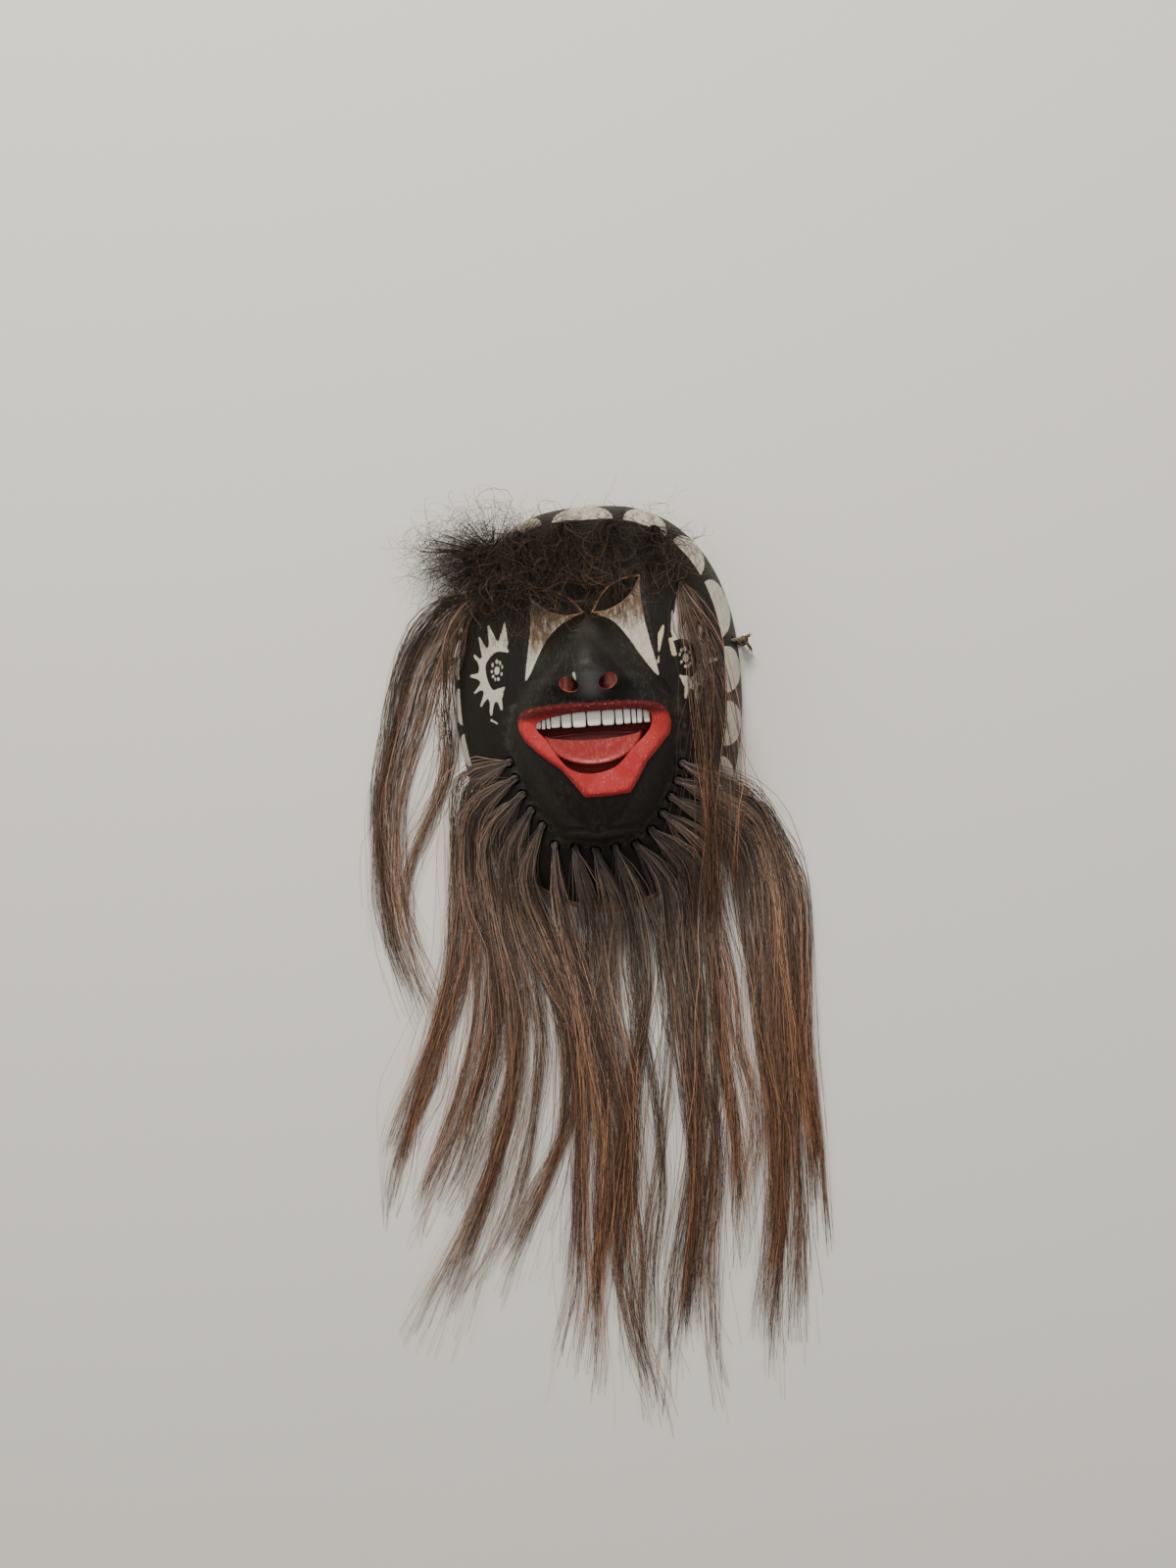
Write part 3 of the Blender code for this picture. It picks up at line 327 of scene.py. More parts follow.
# How the hair lies; places along a lock go from 0 at its root to 1 at its tip
HAIR_POINTS = 24
HAIR_RADIUS = 0.155 * MM
HAIR_CLEARANCE = 0.0004
HAIR_SET_DEEP = 0.0035  # how deep in its socket a hair starts
HAIR_STANDS_UP = 0.0010  # how far it goes straight out of the socket
OFF_ALL_HAIRS = (0.13, 0.21, 0.97)  # a direction that no hair follows
LOW_SPARE = (-0.0058, -0.0125, 0.0002)  # how far the hair may pass the space of the solids
HIGH_SPARE = (0.0058, 0.0125, 0.0016)
TURN_START = 0.004  # how near to that limit a hair starts to turn back
CELL = 0.006  # the squares in which the highest hair is looked for
STEEPEST_DROOP = 1.0
LOCK_STEPS = 70
STRANDS_A_LOCK = 5
BUNCH = 0.62  # how much of its socket a bunch of hair fills
CHIN_HAIRS = 80  # in a beard tuft at the chin, with more towards the sides
MORE_HAIRS_ASIDE = 85
LOOSE_HAIRS = 0.25  # shares of the hairs that lie loose, and that fly off
FLYING_HAIRS = 0.14
# Places along a lock, then the values there
THICKNESS_ALONG = ((0, 0.1, 0.4, 0.8, 1.0), (0.35, 0.8, 0.9, 0.6, 0.35))
PARTED_ALONG = ((0, 0.1, 0.35, 1.0), (0.0, 0.25, 0.85, 1.0))
SPREAD_ALONG = ((0, 0.045, 0.2, 0.6, 1.0), (0.0, 1.4, 1.1, 1.0, 1.9))
LOCK_WAVES = ((0.8, 2.1), (0.0034, 0.0014))  # cycles along the hair, then sizes in metres
STRAND_WAVES = ((1.5, 4.0), (0.0010, 0.0005))
HAIR_WAVES = ((1.0, 2.8, 6.5), (0.0010, 0.0008, 0.0003))
WIDTH_STOPS = (0, 0.04, 0.12, 0.3, 0.55, 0.85, 1.0)  # where the next rows give a half width, in mm
SIDE_TUFT = (1.2, 3.4, 6.6, 7.8, 6.8, 5.6, 6.8)
CHIN_TUFT = (1.2, 2.4, 5.2, 6.4, 6.0, 5.0, 6.2)
LEFT_LOCK_WIDTHS = (1.6, 4.4, 9.5, 8.5, 5.5, 5.0, 6.0)
LEFT_BRANCH_WIDTHS = (1.6, 3.5, 5.0, 5.0, 4.6, 4.0, 5.0)
RIGHT_LOCK_WIDTHS = (1.6, 4.0, 7.2, 6.6, 7.0, 6.0, 7.0)
FRIZZ_POINTS = 12
FRIZZ_ROW = 40
FRIZZ = (  # hairs in each brow tuft, then spread aside, reach behind it and height in millimetres
    (900, 11.0, 26.0, 13.0), (560, 9.5, 13.0, 12.0), (380, 8.5, 2.0, 9.0), (280, 8.5, 0.0, 7.0),
    (150, 7.5, 0.0, 6.0),
)
FRIZZ_RIM = 0.95
FRIZZ_RADIUS = 0.1 * MM

# The ties
RING_PITCH = 0.0036  # the length of one twist of the cord
KNOT_PITCH = 0.003
KNOT_TURNS = 3.1
KNOT_RADIUS = 0.00175
KNOT_HALF_HEIGHT = 0.0021
TIE_ENDS = ((0.45, 0.35, 0.82), (0.6, -0.5, -0.5))  # the ways they stick out of the knot
FRAYED_FIBRES = 9
FIBRE_RADIUS = 0.00011
CORD_STEP = 0.0004
OFF_ALL_CORDS = (0.0, 1.0, 0.05)  # a direction that hardly any cord follows

# The room and the camera
FLOOR_REACH = 3
FLOOR_COLOUR = (0.74, 0.71, 0.66)
LAMPS = (  # name, place, aim, size, power, colour
    ("key", (-0.2, 1.35, 1.15), (0, 0.05, 0), 0.6, 33, (1.0, 0.96, 0.9)),
    ("fill", (1.0, 0.3, 1.3), (0, 0, 0), 1.2, 7, (0.95, 0.97, 1.0)),
    ("soft", (-1.1, 0.1, 1.0), (0, 0, 0), 1.2, 5, (1.0, 0.98, 0.95)),
)
SKY_COLOUR = (1.0, 0.98, 0.95)
SKY_STRENGTH = 0.3
CAMERA_AIM = (-7.6, -36.4, 0.0)  # in millimetres from the middle of the rim
CAMERA_ASIDE = 4.25  # degrees, as is the next
CAMERA_LEAN = 3.5
CAMERA_DISTANCE = 0.582
CAMERA_LENS = 27.04


# Curves and distances


def smooth(table, at):
    """A smooth curve through the rows of a table, flat beyond its ends."""
    knots = np.array([row[0] for row in table], dtype=float)
    values = np.array([row[1] for row in table], dtype=float)
    slopes = np.gradient(values, knots)
    at = np.clip(np.asarray(at, dtype=float), knots[0], knots[-1])
    left = np.clip(np.searchsorted(knots, at, side="right") - 1, 0, len(knots) - 2)
    span = knots[left + 1] - knots[left]
    u = (at - knots[left]) / span
    start = (1 + 2 * u) * (1 - u) ** 2 * values[left] + u * (1 - u) ** 2 * span * slopes[left]
    end = u * u * (3 - 2 * u) * values[left + 1] + u * u * (u - 1) * span * slopes[left + 1]
    return start + end


def on_face(share_x, share_y):
    """A place on the face, from shares of its half width and half height."""
    return share_x * HALF_WIDTH, share_y * HALF_HEIGHT


def outline(shares):
    """The corners of an outline, in metres."""
    return np.array([on_face(*corner) for corner in shares])


def ramp(value, low, high):
    """0 at low, 1 at high and straight between them."""
    return np.clip((value - low) / (high - low), 0, 1)


def nearest_of(distances):
    """The smallest of several distances, point by point."""
    return np.minimum.reduce(list(distances))


def along_line(x, y, ax, ay, bx, by):
    """How far along a line the nearest spot on it lies, 0 at its first end and 1 at its last."""
    along = ((x - ax) * (bx - ax) + (y - ay) * (by - ay)) / ((bx - ax) ** 2 + (by - ay) ** 2)
    return np.clip(along, 0, 1)


def polygon_distance(x, y, corners):
    """Distance to a closed outline, negative inside it."""
    nearest = np.full(np.shape(x), np.inf)
    inside = np.zeros(np.shape(x), dtype=bool)
    for (ax, ay), (bx, by) in zip(corners, np.roll(corners, -1, axis=0)):
        along = along_line(x, y, ax, ay, bx, by)
        gap = np.hypot(x - ax - along * (bx - ax), y - ay - along * (by - ay))
        nearest = np.minimum(nearest, gap)
        crosses = (ay > y) != (by > y)
        rise = by - ay if abs(by - ay) > SMALL else SMALL
        inside ^= crosses & (x < ax + (y - ay) * (bx - ax) / rise)
    return np.where(inside, -nearest, nearest)


def taper_distance(x, y, ax, ay, a_half, bx, by, b_half):
    """Distance to a stroke that tapers from one end to the other, negative inside it."""
    along = along_line(x, y, ax, ay, bx, by)
    half = a_half + (b_half - a_half) * along
    return np.hypot(x - ax - along * (bx - ax), y - ay - along * (by - ay)) - half


def melt(a, b, width):
    """The nearer of two distances, with the corner between them rounded by this width."""
    share = np.clip(0.5 + 0.5 * (b - a) / width, 0, 1)
    return b + (a - b) * share - width * share * (1 - share)


# The carved face


def rim_share(x, y, inset=0.0):
    """How far out a point lies: 0 at the widest level's middle, 1 on the outline."""
    up = np.asarray(y) >= WIDEST_LEVEL
    reach = np.where(up, HALF_HEIGHT - WIDEST_LEVEL, HALF_HEIGHT + WIDEST_LEVEL) - inset
    power = np.where(up, HEAD_SQUARENESS, CHIN_SQUARENESS)
    across = np.abs(x) / (HALF_WIDTH - inset) + SMALL
    along = np.abs(y - WIDEST_LEVEL) / reach + SMALL
    return (across**power + along**power) ** (1 / power)


def dome(x, y):
    """Height of the plain dome under the carving."""
    return FACE_DEPTH * np.sqrt(np.clip(1 - rim_share(x, y) ** 2, 0, None))


def outside_muzzle(x, y):
    """About how far a point lies outside the muzzle's outline, negative inside it."""
    level = np.asarray(y) / HALF_HEIGHT
    low, high = MUZZLE_OUTLINE[0][0], MUZZLE_OUTLINE[-1][0]
    step = 0.004
    half = smooth(MUZZLE_OUTLINE, level) * HALF_WIDTH
    ahead = smooth(MUZZLE_OUTLINE, level + step) * HALF_WIDTH
    behind = smooth(MUZZLE_OUTLINE, level - step) * HALF_WIDTH
    slope = (ahead - behind) / (2 * step * HALF_HEIGHT)
    beside = (np.abs(x) - half) / np.sqrt(1 + slope**2)
    past = np.maximum(low - level, level - high) * HALF_HEIGHT
    return np.where(past > 0, np.hypot(x, past), beside)


def muzzle_height(x, y):
    """How much the muzzle and the nose stand off the dome."""
    level = np.asarray(y) / HALF_HEIGHT
    inward = np.clip((EDGE_START - outside_muzzle(x, y)) / MUZZLE_EDGE, 0, 1)
    muzzle = MUZZLE_RISE * smooth(MUZZLE_FULLNESS, level) * np.sin(inward * math.pi / 2)
    nose_half = smooth(NOSE_WIDTH, level) * HALF_WIDTH
    nose = NOSE_RISE * smooth(NOSE_PROFILE, level) * np.exp(-((x / nose_half) ** 2))
    return muzzle + nose


def facet_depth(x, y):
    """The flat under each eye, deepest along the muzzle and running out at its outer line."""
    level = np.asarray(y) / HALF_HEIGHT
    (top_x, top_y), (tip_x, tip_y) = FACET_OUTER_TOP, FACET_TIP
    outer = (tip_x + (level - tip_y) / (top_y - tip_y) * (top_x - tip_x)) * HALF_WIDTH
    inner = smooth(MUZZLE_OUTLINE, level) * HALF_WIDTH
    across = (np.abs(x) - inner) / np.maximum(outer - inner, EDGE_START)
    low, high = FACET_LEVELS
    along = ramp(level, low, high)
    inside = (across < 1) & (level > low)
    depth = FACET_DEPTH * np.clip(FACET_END - across, 0, 1) * np.sin(along * math.pi * FACET_SWELL)
    return np.where(inside, np.clip(depth, 0, None), 0.0)


def face_height(x, y):
    """Height of the carved face above the rim's plane."""
    across, level_spread = NASION[1] * HALF_WIDTH, NASION[2] * HALF_HEIGHT
    dip = NASION_DIP * np.exp(
        -((x / across) ** 2) - ((y - NASION[0] * HALF_HEIGHT) / level_spread) ** 2
    )
    within = -polygon_distance(x, y, outline(OUTER_LIPS))
    lips = LIP_RISE * np.clip(2 * within / LIP_CREST, 0, 1)
    lips -= LIP_SLOPE * np.clip(within - LIP_CREST, 0, MUZZLE_EDGE)
    return dome(x, y) + muzzle_height(x, y) - dip - facet_depth(x, y) + lips


def hollow_height(x, y):
    """Height of the hollow behind the face."""
    depth = FACE_DEPTH - WALL
    inner = depth * np.sqrt(np.clip(1 - rim_share(x, y, WALL) ** 2, 0, None))
    nose_level = 0.22 * HALF_HEIGHT
    reach = 0.2 * HALF_WIDTH
    return inner + NOSE_HOLLOW * np.exp(-(x**2 + (y - nose_level) ** 2) / reach**2)


def outward(x, y):
    """The way a drill goes out of the dome of the face at a point."""
    step = 0.002 * HALF_WIDTH
    slope_x = (dome(x + step, y) - dome(x - step, y)) / (2 * step)
    slope_y = (dome(x, y + step) - dome(x, y - step)) / (2 * step)
    return Vector((-float(slope_x), -float(slope_y), 1)).normalized()


def gouge_marks(x, y):
    """The low waves that the carver's gouge left, up to a quarter of a millimetre.

    The numbers beside x and y are radians a metre, for waves 10 to 42 mm long.
    """
    waves = np.sin(x * 610 + 2.1 * np.sin(y * 190)) * np.sin(y * 430 + 1.7 * np.sin(x * 240))
    waves += 0.7 * np.sin(x * 260 + y * 210 + 1.3) + 0.5 * np.sin(y * 330 - x * 150)
    return GOUGE_WAVE * waves


def gouge_scoops(x, y):
    """The overlapping scoops that the gouge left in the hollow, in uneven rows down the mask."""
    across = x / SCOOP_WIDTH + 0.35 * np.sin(y * 80) + 0.2 * np.sin(y * 31 + 2)
    row = np.floor(across)
    down = y / SCOOP_LENGTH + 0.37 * row + 0.2 * np.sin(x * 120)
    dip_across = 1 - (2 * (across - row) - 1) ** 2
    dip_down = 1 - (2 * (down - np.floor(down)) - 1) ** 2
    return SCOOP_DEPTH * dip_across * (0.45 + 0.55 * dip_down)


def mouth_floor():
    """Height of the flat floor of the mouth."""
    x, y = on_face(*TONGUE)
    return float(dome(x, y) + MUZZLE_RISE - MOUTH_DEPTH)


def eye_outline(share_x, share_y, slant):
    """The leaf-shaped outline of an eye."""
    x, y = on_face(share_x, share_y)
    turn = math.radians(slant)
    corners = []
    for side in (1, -1):
        for k in range(EYE_STEPS):
            place = k / EYE_STEPS * 2 - 1
            along = side * place * (EYE_LENGTH / 2)
            bulge = side * (EYE_HEIGHT / 2) * (1 - place**2)
            corners.append((
                x + along * math.cos(turn) - bulge * math.sin(turn),
                y + along * math.sin(turn) + bulge * math.cos(turn),
            ))
    return np.array(corners)


def rounded(corners, times):
    """Cuts the corners of an outline, to leave it smooth."""
    for _ in range(times):
        after = np.roll(corners, -1, axis=0)
        corners = np.stack([0.75 * corners + 0.25 * after, 0.25 * corners + 0.75 * after], axis=1)
        corners = corners.reshape(-1, 2)
    return corners


def mouth_outline():
    """The smooth outline of the mouth's opening."""
    return rounded(outline(MOUTH), MOUTH_ROUNDINGS)


# Pieces


def add_object(name, data):
    """Puts a mesh, a light or a camera in the scene."""
    obj = bpy.data.objects.new(name, data)
    bpy.context.scene.collection.objects.link(obj)
    return obj


def piece(name, points, faces, finish, slot, instead_of=(), values=None, sharp=None):
    """A finished piece that rides on the mask, with values painted on its points.

    Where a sharp angle is given, edges steeper than it, in degrees, stay crisp.
    """
    mesh = bpy.data.meshes.new(name)
    mesh.from_pydata((np.asarray(points) + RIM_MIDDLE).tolist(), [], faces)
    mesh.shade_smooth()
    if sharp:
        mesh.set_sharp_from_angle(angle=math.radians(sharp))
    for label, numbers in (values or {}).items():
        layer = mesh.attributes.new(label, "FLOAT", "POINT")
        layer.data.foreach_set("value", np.asarray(numbers, dtype=np.float32).ravel())
    mesh.materials.append(finish)
    obj = add_object(name, mesh)
    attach(obj, "root")
    if instead_of:
        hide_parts(*instead_of)


def grid_faces(rows, columns, flip=False):
    """Quads of a grid whose points are numbered row by row."""
    start = (np.arange(rows - 1)[:, None] * columns + np.arange(columns - 1)).ravel()
    quads = np.stack([start, start + 1, start + columns + 1, start + columns], axis=1)
    return quads[:, ::-1] if flip else quads


def square_edge(rows, columns):
    """The numbers of a grid's outer points, in order round it."""
    bottom = np.arange(columns - 1)
    right = np.arange(rows - 1) * columns + columns - 1
    top = (rows - 1) * columns + np.arange(columns - 1, 0, -1)
    left = np.arange(rows - 1, 0, -1) * columns
    return np.concatenate([bottom, right, top, left])


def round_spots(across, up, inset):
    """A grid laid over the whole face, or over the hollow at this inset from its outline."""
    u, v = np.meshgrid(np.linspace(-1, 1, across + 1), np.linspace(-1, 1, up + 1))
    x = u * np.sqrt(1 - v**2 / 2)
    y = v * np.sqrt(1 - u**2 / 2)
    out = np.clip(np.hypot(x, y), 0, 1)
    share = GRID_EVEN * out + GRID_CROWDED * np.sin(out * math.pi / 2)
    turn = np.arctan2(y, x)
    edge = 1 / rim_share(np.cos(turn), np.sin(turn) + WIDEST_LEVEL, inset)
    spots_x = np.cos(turn) * edge * share
    spots_y = WIDEST_LEVEL + np.sin(turn) * edge * share
    return spots_x.ravel(), spots_y.ravel(), share.ravel()


def off_the_rim(share, steepness):
    """1 over most of the face, falling to 0 at its outline."""
    return np.clip(steepness - steepness * share, 0, 1)


def carved_shell():
    """The whole mask in one closed mesh before its holes are cut: face, flat rim and hollow."""
    x, y, share = round_spots(GRID_ACROSS, GRID_UP, 0.0)
    heights = face_height(x, y) + gouge_marks(x, y) * off_the_rim(share, MARKS_END)
    front = np.stack([x, y, np.where(share > 1 - SMALL, 0.0, heights)], axis=1)
    bx, by, share = round_spots(GRID_ACROSS // 2, GRID_UP // 2, WALL)
    heights = hollow_height(bx, by) + gouge_scoops(bx, by) * off_the_rim(share, SCOOPS_END)
    back = np.stack([bx, by, np.where(share > 1 - SMALL, 0.0, heights)], axis=1)
    faces = grid_faces(GRID_UP + 1, GRID_ACROSS + 1).tolist()
    faces += (grid_faces(GRID_UP // 2 + 1, GRID_ACROSS // 2 + 1, flip=True) + len(front)).tolist()
    outer = square_edge(GRID_UP + 1, GRID_ACROSS + 1)
    inner = square_edge(GRID_UP // 2 + 1, GRID_ACROSS // 2 + 1) + len(front)
    for k in range(len(inner)):
        a, b = int(inner[k]), int(inner[(k + 1) % len(inner)])
        first, second = int(outer[2 * k]), int(outer[2 * k + 1])
        third = int(outer[(2 * k + 2) % len(outer)])
        faces += [(a, second, first), (a, b, second), (b, third, second)]
    return np.vstack([front, back]), faces


def prism(shape, corners, bottom, top):
    """Adds an upright block on this outline to a shape."""
    lower = [shape.verts.new((x, y, bottom)) for x, y in corners]
    made = bmesh.ops.extrude_face_region(shape, geom=[shape.faces.new(lower)])["geom"]
    upper = [item for item in made if isinstance(item, bmesh.types.BMVert)]
    bmesh.ops.translate(shape, verts=upper, vec=(0, 0, top - bottom))


def drill(shape, spot, way, diameter, depth, above):
    """Adds a drill's cylinder to a shape, from above a spot to a depth below it."""
    turn = way.to_track_quat("Z", "Y").to_matrix().to_4x4()
    bmesh.ops.create_cone(
        shape,
        cap_ends=True,
        segments=DRILL_SIDES,
        radius1=diameter / 2,
        radius2=diameter / 2,
        depth=above + depth,
        matrix=Matrix.Translation(spot + way * (above - depth) / 2) @ turn,
    )


def nostril_pocket(shape, share_x, share_y, slant):
    """Adds the rounded pocket of a nostril to a shape."""
    x, y = on_face(share_x, share_y)
    pocket = bmesh.ops.create_uvsphere(shape, u_segments=28, v_segments=16, radius=1)["verts"]
    reach = Matrix.Diagonal((*on_face(*NOSTRIL_REACH), NOSTRIL_DEPTH, 1))
    turn = Matrix.Rotation(math.radians(slant), 4, "Z") @ reach
    place = Matrix.Translation((x, y, float(face_height(x, y))))
    bmesh.ops.transform(shape, verts=pocket, matrix=place @ turn)


def tie_slot(shape, side):
    """Adds a tie's way to a shape: the hole through the wall, and the notch under the rim."""
    spot = Vector((side * wall_at(TIE_HOLE_HEIGHT), TIE_LEVEL, TIE_HOLE_HEIGHT))
    drill(shape, spot, Vector((side, 0, 0)), TIE_HOLE_DIAMETER, 2 * WALL, WALL)
    notch = bmesh.ops.create_cube(shape, size=1)["verts"]
    size = (3 * WALL, TIE_DIAMETER + 4 * FIT_GAP, 2 * (TIE_DIAMETER + 2 * FIT_GAP))
    bmesh.ops.scale(shape, verts=notch, vec=size)
    place = (side * (HALF_WIDTH - WALL / 2), TIE_LEVEL, 0)
    bmesh.ops.translate(shape, verts=notch, vec=place)


def socket_spot(x, y):
    """Where a socket opens, on the plain dome."""
    return Vector((x, y, float(dome(x, y))))


def jaw_socket(share):
    """The place of a beard socket, this share of the way along the jaw from the left."""
    turn = math.radians(JAW_START + JAW_SWEEP * share)
    low, high = 0.0, MASK_HEIGHT
    for _ in range(BISECTIONS):
        middle = (low + high) / 2
        x = middle * math.cos(turn)
        y = MUZZLE_MIDDLE * HALF_HEIGHT + middle * math.sin(turn)
        if outside_muzzle(x, y) > JAW_OFFSET:
            high = middle
        else:
            low = middle
    return x, y


def beard_socket(k):
    """The place of the socket of a beard tuft, numbered from the left."""
    return jaw_socket((k + 0.5) / BEARD_TUFTS)


def socket_places():
    """The places of all sockets: along the jaw, at the temples and across the brow."""
    places = [beard_socket(k) for k in range(BEARD_TUFTS)]
    places += [on_face(*root) for root in (LEFT_LOCK_ROOT, RIGHT_LOCK_ROOT)]
    return places + [on_face(*path[0]) for path in BROW_TUFTS]


def wall_at(height):
    """How far the wall stands out from the middle at the ties' level and this height."""
    wanted = math.sqrt(1 - (height / FACE_DEPTH) ** 2)
    x = 0.0
    step = HALF_WIDTH / 2
    while step > SMALL:
        if rim_share(x + step, TIE_LEVEL) < wanted:
            x += step
        step /= 2
    return x


def holes():
    """Everything that is cut out of the shell: mouth, eyes, nostrils, sockets and tie holes."""
    shape = bmesh.new()
    prism(shape, mouth_outline(), mouth_floor(), FACE_DEPTH + MUZZLE_RISE + NOSE_RISE)
    for eye in EYES:
        prism(shape, eye_outline(*eye), -WALL, FACE_DEPTH + MUZZLE_RISE)
    for nostril in NOSTRILS:
        nostril_pocket(shape, *nostril)
    for x, y in socket_places():
        drill(shape, socket_spot(x, y), outward(x, y), SOCKET_DIAMETER, SOCKET_DEPTH, SOCKET_DEPTH)
    for side in (-1, 1):
        tie_slot(shape, side)
    return shape


def cut_mesh(points, faces, shape):
    """The shell with the holes cut out: its points and faces."""
    whole = bpy.data.meshes.new("uncut")
    whole.from_pydata(points.tolist(), [], faces)
    bmesh.ops.recalc_face_normals(shape, faces=shape.faces)
    tool = bpy.data.meshes.new("tool")
    shape.to_mesh(tool)
    shape.free()
    whole_obj, tool_obj = add_object("uncut", whole), add_object("tool", tool)
    cut = whole_obj.modifiers.new("cut", "BOOLEAN")
    cut.operation = "DIFFERENCE"
    cut.solver = "EXACT"
    cut.object = tool_obj
    graph = bpy.context.evaluated_depsgraph_get()
    result = bpy.data.meshes.new_from_object(whole_obj.evaluated_get(graph))
    spots = np.empty(len(result.vertices) * 3)
    result.vertices.foreach_get("co", spots)
    polygons = [tuple(polygon.vertices) for polygon in result.polygons]
    for obj in (whole_obj, tool_obj):
        bpy.data.objects.remove(obj)
    return spots.reshape(-1, 3), polygons


# The paint on the mask, as distances in millimetres and shares


def sun_distance(x, y):
    """The rayed ring on a cheek with the flower in it, in millimetres."""
    near = np.full(x.shape, FAR)
    for a, b in zip(SUN_BAND, SUN_BAND[1:]):
        near = melt(near, taper_distance(x, y, *a, *b), BAND_FILLET)
    for ray in SUN_RAYS:
        near = melt(near, taper_distance(x, y, *ray), RAY_FILLET)
    for px, py, half, tall in SUN_PETALS:
        oval = (np.hypot((x - px) / half, (y - py) / tall) - 1) * min(half, tall)
        near = np.minimum(near, oval)
    return near


def border_distance(x, y):
    """The row of arches between the border's line and the rim, in millimetres."""
    turn = np.arctan2(y - WIDEST_LEVEL, x)
    line = BORDER_SHARE + BORDER_LEFT * np.clip(-np.cos(turn), 0, 1)
    out = (rim_share(x, y) - line) / (1 - line)
    degrees = np.degrees(turn)
    near = np.full(x.shape, FAR)
    for start, end in BORDER_DOMES:
        middle, half = (start + end) / 2, (end - start) / 2
        aside = ((degrees - middle + 180) % 360 - 180) / half
        lean = BORDER_LEAN * np.clip(out, 0, 1) * np.sign(np.cos(turn))
        over = np.hypot(aside - lean, np.clip(out / BORDER_REACH, 0, None)) - 1
        near = np.minimum(near, over * BORDER_WIDTH)
    return np.maximum(near, -out * BORDER_WIDTH)


def nostril_distance(x, y):
    """Distance to the edge of the nearer nostril, in millimetres."""
    reach_x, reach_y = on_face(*NOSTRIL_REACH)
    ovals = []
    for share_x, share_y, slant in NOSTRILS:
        px, py = on_face(share_x, share_y)
        turn = math.radians(slant)
        along = (x - px) * math.cos(turn) + (y - py) * math.sin(turn)
        aside = (y - py) * math.cos(turn) - (x - px) * math.sin(turn)
        ovals.append((np.hypot(along / reach_x, aside / reach_y) - 1) * reach_y / MM)
    return nearest_of(ovals)


def socket_distance(points):
    """Distance to the mouth of the nearest socket, in millimetres."""
    spots = [np.array(socket_spot(*place)) for place in socket_places()]
    return nearest_of(np.linalg.norm(points - spot, axis=1) / MM for spot in spots)


def ridge_sharpness(x, y):
    """1 on sharp ridges of the face, -1 in its sharp grooves, 0 where it is even."""
    step = RIDGE_SPAN
    around = (face_height(x + step, y) + face_height(x - step, y)) / 2
    around = (around + (face_height(x, y + step) + face_height(x, y - step)) / 2) / 2
    return np.clip((face_height(x, y) - around) / MM / SHARP_RIDGE, -1, 1)


def shade_and_grime_on_white(x, y, flash, suns, border):
    """How much painted shade and grime the white gets, most towards the brow and on the left, from 0 to
    1.
    """
    shade_from = np.where(x < 0, 14, 24)
    shade_and_grime = ramp(y, shade_from, shade_from + 17) * (flash < 1)
    shade_and_grime = np.maximum(shade_and_grime, 0.5 * ramp(y, 22, 30) * (suns < 1))
    shade_and_grime = np.maximum(shade_and_grime, (0.12 + 0.4 * ramp(y, 25, 65)) * (border < 1))
    return np.clip(shade_and_grime, 0, 1)


